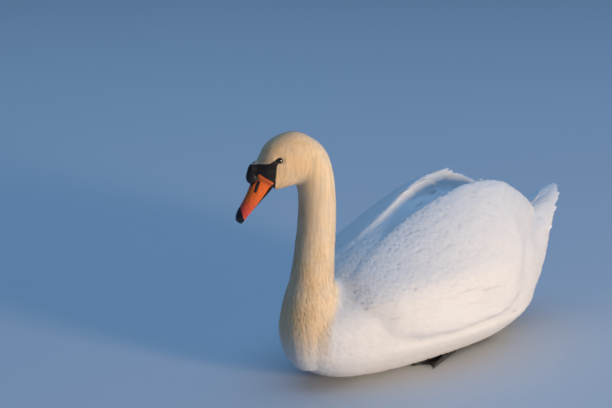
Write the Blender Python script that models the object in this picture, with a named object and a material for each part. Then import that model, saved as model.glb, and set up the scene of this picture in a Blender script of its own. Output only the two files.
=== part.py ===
"""Mute swan at life size, at rest on its belly with its neck raised and its head turned to its right.

The bird faces -Y and its left side is +X. The origin is on the flat of its belly, at floor level.
Sizes are in metres, angles in degrees. The body is lofted from named stations: each piece is a row of
closed rings, and a piece that lies on another is cut back from it by JOINT_GAP.
"""

import math
from collections import namedtuple

import bmesh
import bpy
from mathutils import Matrix, Vector

# How the pieces meet
JOINT_GAP = 0.0003
FOOT_POCKET = 0.0015

# Where the upright neck stands, and how far the head is turned from straight ahead
NECK_AXIS_Y = -0.289
HEAD_TURN = 36.5

# The bill hangs below the level by this angle, from the corner of the mouth
BILL_PITCH = 57.0
GAPE_AHEAD = 0.080
GAPE_Z = 0.353

# The trunk: nose of the breast to the end of the feathers under the tail
TrunkStation = namedtuple("TrunkStation", "y top bottom half_width widest")
TRUNK = (
    TrunkStation(-0.344, 0.118, 0.082, 0.018, 0.100),
    TrunkStation(-0.337, 0.130, 0.058, 0.038, 0.098),
    TrunkStation(-0.318, 0.142, 0.034, 0.062, 0.098),
    TrunkStation(-0.282, 0.158, 0.014, 0.086, 0.099),
    TrunkStation(-0.232, 0.188, 0.003, 0.109, 0.102),
    TrunkStation(-0.150, 0.228, -0.004, 0.130, 0.106),
    TrunkStation(-0.050, 0.258, -0.005, 0.147, 0.108),
    TrunkStation(0.060, 0.270, -0.005, 0.150, 0.110),
    TrunkStation(0.150, 0.250, 0.001, 0.128, 0.112),
    TrunkStation(0.220, 0.220, 0.022, 0.098, 0.122),
    TrunkStation(0.276, 0.204, 0.060, 0.072, 0.140),
    TrunkStation(0.318, 0.200, 0.104, 0.050, 0.162),
    TrunkStation(0.350, 0.208, 0.150, 0.036, 0.184),
    TrunkStation(0.372, 0.216, 0.184, 0.022, 0.202),
    TrunkStation(0.380, 0.213, 0.194, 0.012, 0.205),
)
TRUNK_SQUARENESS = 2.15

# The neck and head: ahead of the neck's axis and above the floor, the way the nape side faces
# (0 backwards, 90 upwards, 180 forwards), half the depth, half the width, and how far it is turned
NeckStation = namedtuple("NeckStation", "ahead z facing half_depth half_width turn")
NECK_LOWER = (
    NeckStation(-0.004, 0.050, 24.0, 0.046, 0.036, 0.0),
    NeckStation(0.006, 0.076, 18.0, 0.056, 0.050, 0.0),
    NeckStation(0.013, 0.112, 10.0, 0.056, 0.0545, 0.0),
    NeckStation(0.018, 0.152, 3.0, 0.0465, 0.0455, 0.0),
    NeckStation(0.013, 0.186, 0.0, 0.0385, 0.037, 1.0),
)
NECK_MIDDLE = (
    NeckStation(0.013, 0.186, 0.0, 0.0385, 0.037, 1.0),
    NeckStation(0.007, 0.226, 0.0, 0.0352, 0.0335, 6.0),
    NeckStation(0.002, 0.266, 0.0, 0.0332, 0.0315, 15.0),
)
NECK_UPPER = (
    NeckStation(0.002, 0.266, 0.0, 0.0332, 0.0315, 15.0),
    NeckStation(0.000, 0.306, 0.0, 0.0318, 0.0303, 26.0),
    NeckStation(0.001, 0.337, 5.0, 0.0312, 0.0300, 33.0),
)
HEAD = (
    NeckStation(0.001, 0.337, 5.0, 0.0312, 0.0300, 33.0),
    NeckStation(0.0085, 0.376, 43.0, 0.035, 0.0305, HEAD_TURN),
    NeckStation(0.0235, 0.3895, 70.7, 0.0408, 0.0315, HEAD_TURN),
    NeckStation(0.0450, 0.3940, 87.5, 0.0460, 0.0322, HEAD_TURN),
    NeckStation(0.0708, 0.3848, 107.0, 0.0412, 0.0300, HEAD_TURN),
    NeckStation(0.0865, 0.3675, 120.3, 0.0292, 0.0235, HEAD_TURN),
    NeckStation(0.0917, 0.3606, 147.0, 0.0200, 0.0178, HEAD_TURN),
)

# The bill, along its own line from the corner of the mouth: how far out, and the heights above that line
BillStation = namedtuple("BillStation", "out low high half_width")
BILL_UPPER = (
    BillStation(0.0003, 0.0005, 0.0320, 0.0170),
    BillStation(0.0180, 0.0010, 0.0275, 0.0160),
    BillStation(0.0380, 0.0022, 0.0238, 0.0142),
    BillStation(0.0570, 0.0045, 0.0222, 0.0142),
    BillStation(0.0700, 0.0060, 0.0208, 0.0136),
    BillStation(0.0780, 0.0064, 0.0180, 0.0100),
    BillStation(0.0815, 0.0068, 0.0145, 0.0045),
)
BILL_LOWER = (
    BillStation(0.0003, -0.0065, 0.0002, 0.0150),
    BillStation(0.0200, -0.0050, 0.0006, 0.0138),
    BillStation(0.0400, -0.0022, 0.0018, 0.0122),
    BillStation(0.0600, 0.0010, 0.0042, 0.0112),
    BillStation(0.0730, 0.0034, 0.0056, 0.0080),
)
# The knob is an egg that leans back from the bill's ridge onto the forehead
KNOB_OUT, KNOB_HEIGHT = -0.0014, 0.0330
KNOB_LENGTH, KNOB_WIDTH, KNOB_DEPTH = 0.040, 0.023, 0.026
KNOB_LEAN = 28.7

# The eyes, in the bill's frame
EYE_BEHIND, EYE_ABOVE, EYE_ASIDE = 0.0430, 0.0142, 0.0260
EYE_RADIUS = 0.0060

# One folded wing, wrist to tip: its upper edge, its widest point and its lower edge
WingStation = namedtuple("WingStation", "y top_x top_z wide_x wide_z low_x low_z")
WING = (
    WingStation(-0.262, 0.050, 0.158, 0.086, 0.144, 0.088, 0.122),
    WingStation(-0.240, 0.038, 0.182, 0.108, 0.146, 0.104, 0.104),
    WingStation(-0.190, 0.026, 0.209, 0.134, 0.146, 0.129, 0.092),
    WingStation(-0.100, 0.022, 0.251, 0.156, 0.152, 0.149, 0.086),
    WingStation(-0.010, 0.034, 0.282, 0.166, 0.156, 0.157, 0.086),
    WingStation(0.050, 0.044, 0.295, 0.162, 0.162, 0.154, 0.092),
    WingStation(0.100, 0.048, 0.297, 0.146, 0.168, 0.135, 0.116),
    WingStation(0.150, 0.047, 0.286, 0.114, 0.181, 0.105, 0.146),
    WingStation(0.208, 0.042, 0.259, 0.083, 0.196, 0.077, 0.172),
    WingStation(0.250, 0.034, 0.237, 0.054, 0.205, 0.050, 0.190),
    WingStation(0.276, 0.030, 0.220, 0.041, 0.207, 0.038, 0.198),
    WingStation(0.289, 0.027, 0.210, 0.034, 0.206, 0.032, 0.201),
)
WING_ROOT_X = 0.012
WING_ROOT_DEPTH = 0.060
WING_FULLNESS = 1.5

# The tail, a raised fan of overlapping feathers that spreads from a point under the rump
TAIL_HINGE_Y, TAIL_HINGE_Z = 0.130, 0.130
TAIL_SPREAD = 18.0
TAIL_FEATHERS = 9
TAIL_START, TAIL_LENGTH = 0.100, 0.271
TAIL_SHORTENING = 0.30
TAIL_NOTCH = 0.045
TAIL_SLOPE = 0.40
TAIL_DROOP = 4.2
TAIL_LEAN = 0.18
TAIL_ROOT_THICKNESS, TAIL_TIP_THICKNESS = 0.026, 0.003

# One leg, folded forwards along the floor under the belly
ANKLE = Vector((0.058, 0.118, 0.0105))
FOOT_BALL = Vector((0.066, 0.017, 0.0075))
ANKLE_RADIUS, SHANK_RADIUS = 0.0095, 0.0068
TOE_LENGTHS = (0.098, 0.122, 0.112)
TOE_ANGLES = (-17.0, -1.0, 15.0)
TOE_ROOT_RADIUS, TOE_TIP_RADIUS, TOE_FLATNESS = 0.0069, 0.0028, 0.9
WEB_THICKNESS = 0.0022
WEB_BACK, WEB_REACH, WEB_HOLLOW = 0.004, 0.93, 0.86
HIND_TOE = Vector((-0.0091, 0.0244, 0))
HIND_TOE_ROOT_RADIUS, HIND_TOE_TIP_RADIUS = 0.0050, 0.0028

# How finely the round pieces are divided
TRUNK_SIDES, NECK_SIDES, BILL_SIDES, ROD_SIDES = 34, 22, 18, 10
BILL_SQUARENESS = 2.3

# How much of each bill half's depth is on the domed side of its widest line
UPPER_DOME, LOWER_DOME = 0.94, 0.90

WHITE = (0.90, 0.88, 0.84)
CREAM = (0.86, 0.77, 0.62)
ORANGE = (0.85, 0.20, 0.03)
BLACK = (0.02, 0.018, 0.017)
FOOT_GREY = (0.05, 0.05, 0.055)


def clear_scene():
    """Removes what the startup file holds."""
    for thing in list(bpy.data.objects):
        bpy.data.objects.remove(thing, do_unlink=True)


def finish(name, colour, roughness):
    """A plain material."""
    material = bpy.data.materials.new(name)
    material.use_nodes = True
    shader = material.node_tree.nodes["Principled BSDF"]
    shader.inputs["Base Color"].default_value = (*colour, 1.0)
    shader.inputs["Roughness"].default_value = roughness
    shader.inputs["Metallic"].default_value = 0.0
    return material


def piece(name, mesh, material=None):
    """Puts a mesh in the scene as one named, smoothly shaded object."""
    mesh.name = name
    if material is not None:
        mesh.materials.clear()
        mesh.materials.append(material)
    mesh.shade_smooth()
    made = bpy.data.objects.new(name, mesh)
    bpy.context.scene.collection.objects.link(made)
    return made


def curve_value(a, b, c, d, t):
    """A smooth curve's value the share t of the way from b to c, where a comes before and d after."""
    return b + 0.5 * t * (c - a + t * (2 * a - 5 * b + 4 * c - d + t * (3 * (b - c) + d - a)))


def between(stations, steps):
    """The stations with smooth ones added, so that each span has that many steps."""
    kind = type(stations[0])
    values = [tuple(s) for s in stations]
    first = [2 * a - b for a, b in zip(values[0], values[1])]
    last = [2 * a - b for a, b in zip(values[-1], values[-2])]
    padded = [first, *values, last]
    made = []
    for i in range(1, len(padded) - 2):
        for k in range(steps):
            made.append(kind(*(curve_value(*four, k / steps) for four in zip(*padded[i - 1:i + 3]))))
    made.append(stations[-1])
    return made


def power(value, exponent):
    """A signed power, which makes a circle's sine or cosine into a superellipse's."""
    return math.copysign(abs(value) ** exponent, value)


def oval(count, half_width, rise, drop, squareness=2.0):
    """Points round a closed oval, as (sideways, upwards), wider or narrower above than below."""
    ring = []
    for k in range(count):
        angle = 2 * math.pi * k / count
        across = half_width * power(math.cos(angle), 2 / squareness)
        height = power(math.sin(angle), 2 / squareness)
        ring.append((across, height * (rise if height > 0 else drop)))
    return ring


def loft(rings):
    """A closed mesh through rings of equal count, in order, with a flat cap at each end."""
    shape = bmesh.new()
    rows = [[shape.verts.new(point) for point in ring] for ring in rings]
    count = len(rows[0])
    for row, after in zip(rows, rows[1:]):
        for k in range(count):
            n = (k + 1) % count
            shape.faces.new((row[k], row[n], after[n], after[k]))
    shape.faces.new(reversed(rows[0]))
    shape.faces.new(rows[-1])
    bmesh.ops.recalc_face_normals(shape, faces=shape.faces)
    mesh = bpy.data.meshes.new("loft")
    shape.to_mesh(mesh)
    shape.free()
    return mesh


def grown(mesh, distance):
    """The mesh with each point moved out along its normal."""
    shape = bmesh.new()
    shape.from_mesh(mesh)
    shape.normal_update()
    moves = [(v, v.co + v.normal * distance) for v in shape.verts]
    for vertex, place in moves:
        vertex.co = place
    copy = bpy.data.meshes.new("cutter")
    shape.to_mesh(copy)
    shape.free()
    return copy


def cut(target, cutter_mesh):
    """Takes the cutter's volume out of the target, with a modifier."""
    cutter = piece(f"cutter_{len(bpy.data.objects)}", cutter_mesh)
    cutter.hide_render = True
    cutter.display_type = "WIRE"
    modifier = target.modifiers.new("cut", "BOOLEAN")
    modifier.operation = "DIFFERENCE"
    modifier.solver = "EXACT"
    modifier.object = cutter


def levelled(mesh):
    """The mesh with all that is below the floor sliced off, and a flat face in its place."""
    shape = bmesh.new()
    shape.from_mesh(mesh)
    everything = shape.verts[:] + shape.edges[:] + shape.faces[:]
    sliced = bmesh.ops.bisect_plane(
        shape, geom=everything, plane_co=(0, 0, 0), plane_no=(0, 0, 1), clear_inner=True
    )
    rim = [e for e in sliced["geom_cut"] if isinstance(e, bmesh.types.BMEdge)]
    bmesh.ops.contextual_create(shape, geom=rim)
    bmesh.ops.recalc_face_normals(shape, faces=shape.faces)
    shape.to_mesh(mesh)
    shape.free()
    return mesh


def trunk_mesh():
    """The whole trunk, breast to undertail, flat where it rests."""
    rings = []
    for s in between(TRUNK, 2):
        ring = oval(TRUNK_SIDES, s.half_width, s.top - s.widest, s.widest - s.bottom, TRUNK_SQUARENESS)
        rings.append([Vector((x, s.y, s.widest + z)) for x, z in ring])
    return levelled(loft(rings))


def head_place(ahead, z, turn, aside=0.0):
    """A point ahead of the neck's axis, above the floor and aside to the left, once the head is turned."""
    swing = Matrix.Rotation(math.radians(-turn), 3, "Z")
    return swing @ Vector((aside, -ahead, z)) + Vector((0, NECK_AXIS_Y, 0))


def neck_mesh(stations, steps, first_gap=0.0):
    """A length of neck or head. first_gap draws its first ring back from its neighbour."""
    rings = []
    for s in between(stations, steps):
        facing = math.radians(s.facing)
        back, up = math.cos(facing), math.sin(facing)
        ring = []
        for x, d in oval(NECK_SIDES, s.half_width, s.half_depth, s.half_depth):
            ring.append(head_place(s.ahead - d * back, s.z + d * up, s.turn, x))
        rings.append(ring)
    if first_gap:
        along = (sum(rings[1], Vector()) - sum(rings[0], Vector())).normalized()
        rings[0] = [p + along * first_gap for p in rings[0]]
    return loft(rings)


def bill_place(out, height, aside=0.0):
    """A point in the bill's frame: out from the corner of the mouth, above its line, and to the left."""
    pitch = math.radians(BILL_PITCH)
    ahead = GAPE_AHEAD + out * math.cos(pitch) + height * math.sin(pitch)
    z = GAPE_Z - out * math.sin(pitch) + height * math.cos(pitch)
    return head_place(ahead, z, HEAD_TURN, aside)


def bill_mesh(stations, keel):
    """A half of the bill, domed on its keel side (+1 above, -1 below) and nearly flat at the mouth."""
    rings = []
    for s in between(stations, 2):
        depth = s.high - s.low
        rise = depth * (UPPER_DOME if keel > 0 else 1 - LOWER_DOME)
        drop = depth - rise
        ring = oval(BILL_SIDES, s.half_width, rise, drop, BILL_SQUARENESS)
        rings.append([bill_place(s.out, s.low + drop + h, x) for x, h in ring])
    return loft(rings)


def ball_mesh(centre, radii, axes, around=14, high=9):
    """An ellipsoid with its own axes."""
    shape = bmesh.new()
    bmesh.ops.create_uvsphere(shape, u_segments=around, v_segments=high, radius=1.0)
    frame = Matrix([axes[i] * radii[i] for i in range(3)]).transposed()
    bmesh.ops.transform(shape, matrix=Matrix.Translation(centre) @ frame.to_4x4(), verts=shape.verts)
    bmesh.ops.recalc_face_normals(shape, faces=shape.faces)
    mesh = bpy.data.meshes.new("ball")
    shape.to_mesh(mesh)
    shape.free()
    return mesh


def bill_axes(lean=0.0):
    """Unit vectors of the bill's frame, out, above and to the left, with the first two leant back."""
    here = bill_place(0, 0)
    turn = math.radians(lean)
    steps = ((math.cos(turn), -math.sin(turn), 0), (math.sin(turn), math.cos(turn), 0), (0, 0, 1))
    return [(bill_place(*step) - here).normalized() for step in steps]


def arc(start, end, count, fullness=2.0):
    """Points of a quarter oval from start, where it runs level, to end, where it runs upright."""
    points = []
    for k in range(count):
        angle = 0.5 * math.pi * k / (count - 1)
        across = math.sin(angle) ** (2 / fullness)
        height = max(math.cos(angle), 0.0) ** (2 / fullness)
        points.append(Vector((
            start[0] + (end[0] - start[0]) * across,
            end[1] + (start[1] - end[1]) * height,
        )))
    return points


def wing_mesh(side):
    """One folded wing, side +1 for the left, closed by two flat walls that meet inside the body."""
    rings = []
    for s in between(WING, 2):
        upper = arc((s.top_x, s.top_z), (s.wide_x, s.wide_z), 10, WING_FULLNESS)
        lower = arc((s.low_x, s.low_z), (s.wide_x, s.wide_z), 5)
        outer = upper + lower[-2::-1]
        root = Vector((WING_ROOT_X, s.top_z - WING_ROOT_DEPTH))
        ring = outer + [outer[-1].lerp(root, 0.5), root, outer[0].lerp(root, 0.5)]
        rings.append([Vector((side * p.x, s.y, p.y)) for p in ring])
    return loft(rings)


def tail_mesh():
    """The tail fan: one thin section along each ray from the hinge, longest at each feather's middle."""
    rings = []
    rays = TAIL_FEATHERS * 4
    for k in range(rays + 1):
        share = 2 * k / rays - 1
        angle = math.radians(TAIL_SPREAD * share)
        off_middle = abs(2 * (k / 4 % 1) - 1)
        length = TAIL_LENGTH * (1 - TAIL_SHORTENING * abs(share) ** 1.5 - TAIL_NOTCH * off_middle ** 2)
        upper, lower = [], []
        for t in (0.0, 0.35, 0.65, 0.88, 1.0):
            out = TAIL_START + (length - TAIL_START) * t
            x, y = math.sin(angle) * out, math.cos(angle) * out
            z = TAIL_HINGE_Z + TAIL_SLOPE * out + TAIL_LEAN * x - TAIL_DROOP * x * x
            half = 0.5 * (TAIL_ROOT_THICKNESS + (TAIL_TIP_THICKNESS - TAIL_ROOT_THICKNESS) * t ** 0.7)
            upper.append(Vector((x, TAIL_HINGE_Y + y, z + half)))
            lower.append(Vector((x, TAIL_HINGE_Y + y, z - half)))
        rings.append(upper + lower[::-1])
    return loft(rings)


def rod_rings(start, end, start_radius, end_radius, flatness=1.0, steps=2):
    """Rings along a straight round piece, which rests on the floor on a flat."""
    along = (end - start).normalized()
    across = Vector((0, 0, 1)).cross(along).normalized()
    rings = []
    for k in range(steps + 1):
        share = k / steps
        centre = start.lerp(end, share)
        radius = start_radius + (end_radius - start_radius) * share
        ring = []
        for x, h in oval(ROD_SIDES, radius, radius * flatness, radius * flatness):
            point = centre + across * x + Vector((0, 0, h))
            point.z = max(point.z, 0.0)
            ring.append(point)
        rings.append(ring)
    return rings


def foot_shapes(side):
    """The closed shapes of one leg that is folded on the floor: shank, toes, webs and hind toe."""
    tips = []
    for length, angle in zip(TOE_LENGTHS, TOE_ANGLES):
        turn = math.radians(angle)
        tip = FOOT_BALL + Vector((math.sin(turn) * length, -math.cos(turn) * length, 0))
        tip.z = TOE_TIP_RADIUS * TOE_FLATNESS
        tips.append(tip)
    hind_tip = FOOT_BALL + HIND_TOE
    hind_tip.z = HIND_TOE_TIP_RADIUS * TOE_FLATNESS

    rows = [rod_rings(ANKLE, FOOT_BALL, ANKLE_RADIUS, SHANK_RADIUS)]
    rows += [rod_rings(FOOT_BALL, tip, TOE_ROOT_RADIUS, TOE_TIP_RADIUS, TOE_FLATNESS) for tip in tips]
    for left, right in zip(tips, tips[1:]):
        outline = (
            FOOT_BALL + Vector((0, WEB_BACK, 0)),
            FOOT_BALL.lerp(left, WEB_REACH),
            FOOT_BALL.lerp((left + right) / 2, WEB_HOLLOW),
            FOOT_BALL.lerp(right, WEB_REACH),
        )
        rows.append([[Vector((p.x, p.y, z)) for p in outline] for z in (0.0, WEB_THICKNESS)])
    rows.append(rod_rings(FOOT_BALL, hind_tip, HIND_TOE_ROOT_RADIUS, HIND_TOE_TIP_RADIUS))
    return [loft([[Vector((side * p.x, p.y, p.z)) for p in ring] for ring in rings]) for rings in rows]


def leg(side, name, material):
    """One leg as a single piece: its shapes joined by unions."""
    first, *others = foot_shapes(side)
    body = piece(name, first, material)
    for mesh in others:
        part = piece(f"cutter_{len(bpy.data.objects)}", mesh)
        part.hide_render = True
        part.display_type = "WIRE"
        modifier = body.modifiers.new("join", "BOOLEAN")
        modifier.operation = "UNION"
        modifier.solver = "EXACT"
        modifier.object = part
    return body


def main():
    clear_scene()
    white = finish("white_plumage", WHITE, 0.8)
    cream = finish("cream_plumage", CREAM, 0.8)
    orange = finish("orange_bill", ORANGE, 0.4)
    black = finish("black_skin", BLACK, 0.5)
    grey = finish("leg_scale", FOOT_GREY, 0.5)
    glass = finish("dark_eye", BLACK, 0.1)

    trunk = piece("trunk", trunk_mesh(), white)
    for side, name in ((1, "leg_left"), (-1, "leg_right")):
        leg(side, name, grey)
        for mesh in foot_shapes(side):
            cut(trunk, grown(mesh, FOOT_POCKET))
    trunk_cutter = grown(trunk_mesh(), JOINT_GAP)

    neck_lower = piece("neck_lower", neck_mesh(NECK_LOWER, 3), cream)
    cut(neck_lower, trunk_cutter.copy())
    neck_cutter = grown(neck_mesh(NECK_LOWER, 3), JOINT_GAP)
    piece("neck_middle", neck_mesh(NECK_MIDDLE, 3, JOINT_GAP), cream)
    piece("neck_upper", neck_mesh(NECK_UPPER, 3, JOINT_GAP), cream)
    head = piece("head", neck_mesh(HEAD, 3, JOINT_GAP), cream)

    axes = bill_axes()
    bill_upper = piece("bill_upper", bill_mesh(BILL_UPPER, 1), orange)
    bill_lower = piece("bill_lower", bill_mesh(BILL_LOWER, -1), black)
    head_cutter = grown(neck_mesh(HEAD, 3), JOINT_GAP)
    cut(bill_upper, head_cutter.copy())
    cut(bill_lower, head_cutter.copy())
    knob_radii = [size / 2 for size in (KNOB_LENGTH, KNOB_DEPTH, KNOB_WIDTH)]
    knob_mesh = ball_mesh(bill_place(KNOB_OUT, KNOB_HEIGHT), knob_radii, bill_axes(KNOB_LEAN))
    cut(head, grown(knob_mesh, JOINT_GAP))
    cut(bill_upper, grown(knob_mesh, JOINT_GAP))
    piece("knob", knob_mesh, black)

    for side, name in ((1, "eye_left"), (-1, "eye_right")):
        centre = bill_place(-EYE_BEHIND, EYE_ABOVE, side * EYE_ASIDE)
        eye_mesh = ball_mesh(centre, [EYE_RADIUS] * 3, axes)
        cut(head, grown(eye_mesh, JOINT_GAP))
        piece(name, eye_mesh, glass)

    tail = piece("tail", tail_mesh(), white)
    cut(tail, trunk_cutter.copy())
    for side, name in ((1, "wing_left"), (-1, "wing_right")):
        wing = piece(name, wing_mesh(side), white)
        cut(wing, trunk_cutter.copy())
        cut(wing, neck_cutter.copy())
        cut(tail, grown(wing_mesh(side), JOINT_GAP))


main()
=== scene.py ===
"""Mute swan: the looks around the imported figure, for Blender 4.5.

It builds skin, plumage, bill, eyes and feet. The bird faces -Y, its left is +X and the floor is at z = 0.
Sizes are in metres unless a name says otherwise.
"""

import math

import bpy
import numpy as np
from mathutils import Matrix, Vector
from mathutils.bvhtree import BVHTree
from mathutils.kdtree import KDTree


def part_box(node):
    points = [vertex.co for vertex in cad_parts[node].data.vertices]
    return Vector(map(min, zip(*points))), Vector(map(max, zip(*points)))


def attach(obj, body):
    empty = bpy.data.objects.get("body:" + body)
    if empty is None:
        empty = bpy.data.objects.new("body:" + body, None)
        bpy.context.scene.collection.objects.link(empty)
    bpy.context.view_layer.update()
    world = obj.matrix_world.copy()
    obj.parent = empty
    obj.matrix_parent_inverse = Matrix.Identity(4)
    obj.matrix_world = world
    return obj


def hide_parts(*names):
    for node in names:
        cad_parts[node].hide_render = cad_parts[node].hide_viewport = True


bl_info = {
    "name": "Mute Swan Figure",
    "version": (1, 0, 0),
    "blender": (4, 5, 0),
    "location": "3D View > Sidebar > Swan",
    "description": "Builds the skin, plumage, bill, eyes and feet of a life-size mute swan",
    "category": "Add Mesh",
}

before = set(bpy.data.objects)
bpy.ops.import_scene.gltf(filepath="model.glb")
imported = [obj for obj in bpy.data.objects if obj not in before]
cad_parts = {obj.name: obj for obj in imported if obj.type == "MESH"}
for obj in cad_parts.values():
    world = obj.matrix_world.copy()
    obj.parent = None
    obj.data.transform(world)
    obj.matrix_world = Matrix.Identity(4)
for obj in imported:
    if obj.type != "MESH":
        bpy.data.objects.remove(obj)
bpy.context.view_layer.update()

BODY = "root"
FLESH = ("head", "neck_upper", "neck_middle", "neck_lower", "trunk", "wing_left", "wing_right")
SIDES = ((1, "left"), (-1, "right"))
UP = Vector((0, 0, 1))


def middle(node):
    """The middle of a node's box."""
    low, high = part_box(node)
    return (low + high) / 2


def corners_of(node):
    """A node's points as an array."""
    return np.array([v.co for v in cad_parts[node].data.vertices], float)


# The bill's own frame: its axes come from the eyes and the angle at which it hangs below the level, and its
# origin, the corner of the mouth, is a set step from the eyes
BILL_PITCH = math.radians(57.0)
EYE_BEHIND, EYE_ABOVE = 0.0430, 0.0142
LEFTWARD = (middle("eye_left") - middle("eye_right")).normalized()
AHEAD = LEFTWARD.cross(UP)
OUTWARD = (AHEAD * math.cos(BILL_PITCH) - UP * math.sin(BILL_PITCH)).normalized()
ABOVE = OUTWARD.cross(LEFTWARD)
BILL_WAYS = np.array([OUTWARD, ABOVE, LEFTWARD], float)
GAPE = (middle("eye_left") + middle("eye_right")) / 2 + OUTWARD * EYE_BEHIND - ABOVE * EYE_ABOVE
EYE_RADIUS = (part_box("eye_left")[1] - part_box("eye_left")[0]).length / (2 * math.sqrt(3))


def in_bill(points):
    """World points in the bill's frame: out from the corner of the mouth, above its line, and to the left."""
    return (np.asarray(points, float) - np.array(GAPE)) @ BILL_WAYS.T


def from_bill(out, above, left):
    """A place in the bill's frame as a world point."""
    return GAPE + OUTWARD * out + ABOVE * above + LEFTWARD * left


# ---------------------------------------------------------------------------------------------------------
# Settings


class SwanCoatSettings(bpy.types.PropertyGroup):
    """Sizes of the plumage."""

    seed: bpy.props.IntProperty(
        name="Seed", description="Which scatter of feathers is laid", default=7, min=0
    )
    voxel: bpy.props.FloatProperty(
        name="Skin Grain", description="Size of the skin's smallest details", default=0.0024, unit="LENGTH"
    )
    face: bpy.props.FloatProperty(
        name="Face Feather", description="Length of the feathers on the face", default=0.0066, unit="LENGTH"
    )
    neck: bpy.props.FloatProperty(
        name="Neck Feather", description="Length of the feathers halfway down the neck", default=0.0150,
        unit="LENGTH",
    )
    body: bpy.props.FloatProperty(
        name="Body Feather", description="Length of the feathers on breast, belly and back", default=0.030,
        unit="LENGTH",
    )
    covert: bpy.props.FloatProperty(
        name="Wing Covert", description="Length of the small feathers that cover the wing", default=0.034,
        unit="LENGTH",
    )
    secondary: bpy.props.FloatProperty(
        name="Secondary", description="Length of the long feathers along the wing's rear edge", default=0.150,
        unit="LENGTH",
    )


class SwanColourSettings(bpy.types.PropertyGroup):
    """Colours of the plumage, bill and feet."""

    white: bpy.props.FloatVectorProperty(
        name="White", description="Clean plumage", default=(0.84, 0.83, 0.81), subtype="COLOR", size=3
    )
    stain: bpy.props.FloatVectorProperty(
        name="Stain", description="Iron-stained plumage of head and neck", default=(0.90, 0.62, 0.32),
        subtype="COLOR", size=3,
    )
    # The nape's paler tan: partly the stain's own paler tone, partly painted light on the back of the neck
    pale_stain_and_light: bpy.props.FloatVectorProperty(
        name="Pale Stain", description="The palest stained plumage", default=(0.90, 0.78, 0.57),
        subtype="COLOR", size=3,
    )
    orange: bpy.props.FloatVectorProperty(
        name="Bill Orange", description="The bill near its base", default=(0.95, 0.17, 0.020),
        subtype="COLOR", size=3,
    )
    red: bpy.props.FloatVectorProperty(
        name="Bill Red", description="The bill near its tip", default=(0.72, 0.075, 0.055),
        subtype="COLOR", size=3,
    )
    black: bpy.props.FloatVectorProperty(
        name="Black", description="Knob, nail and bare skin before the eye", default=(0.016, 0.014, 0.013),
        subtype="COLOR", size=3,
    )
    foot: bpy.props.FloatVectorProperty(
        name="Foot", description="Scales of legs and feet", default=(0.035, 0.036, 0.040),
        subtype="COLOR", size=3,
    )


class SwanStageSettings(bpy.types.PropertyGroup):
    """Camera and light."""

    azimuth: bpy.props.FloatProperty(
        name="Azimuth", description="Where the camera stands round the bird", default=math.radians(38.0),
        subtype="ANGLE",
    )
    elevation: bpy.props.FloatProperty(
        name="Elevation", description="The camera's angle above the level", default=math.radians(14.5),
        subtype="ANGLE",
    )
    distance: bpy.props.FloatProperty(
        name="Distance", description="From the camera to the bird's middle", default=3.67, unit="LENGTH"
    )
    lens: bpy.props.FloatProperty(
        name="Lens", description="Focal length in millimetres, on a 36 mm sensor", default=121.3
    )


# ---------------------------------------------------------------------------------------------------------
# Materials


# The colour sockets of a mix: its two inputs and its result
MIX_FIRST, MIX_SECOND, MIX_RESULT = 6, 7, 2


class Wire:
    """A socket's value, so that shader arithmetic is written as an expression."""

    def __init__(self, finish, socket):
        self.finish = finish
        self.socket = socket

    def combine(self, operation, first, second=0.0):
        return self.finish.add("ShaderNodeMath", {"operation": operation}, {0: first, 1: second})

    def __add__(self, other):
        return self.combine("ADD", self, other)

    def __radd__(self, other):
        return self.combine("ADD", other, self)

    def __sub__(self, other):
        return self.combine("SUBTRACT", self, other)

    def __rsub__(self, other):
        return self.combine("SUBTRACT", other, self)

    def __mul__(self, other):
        return self.combine("MULTIPLY", self, other)

    def __rmul__(self, other):
        return self.combine("MULTIPLY", other, self)

    def __truediv__(self, other):
        return self.combine("DIVIDE", self, other)

    def __pow__(self, other):
        return self.combine("POWER", self, other)

    def __abs__(self):
        return self.combine("ABSOLUTE", self)

    def least(self, other):
        return self.combine("MINIMUM", self, other)

    def most(self, other):
        return self.combine("MAXIMUM", self, other)


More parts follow.
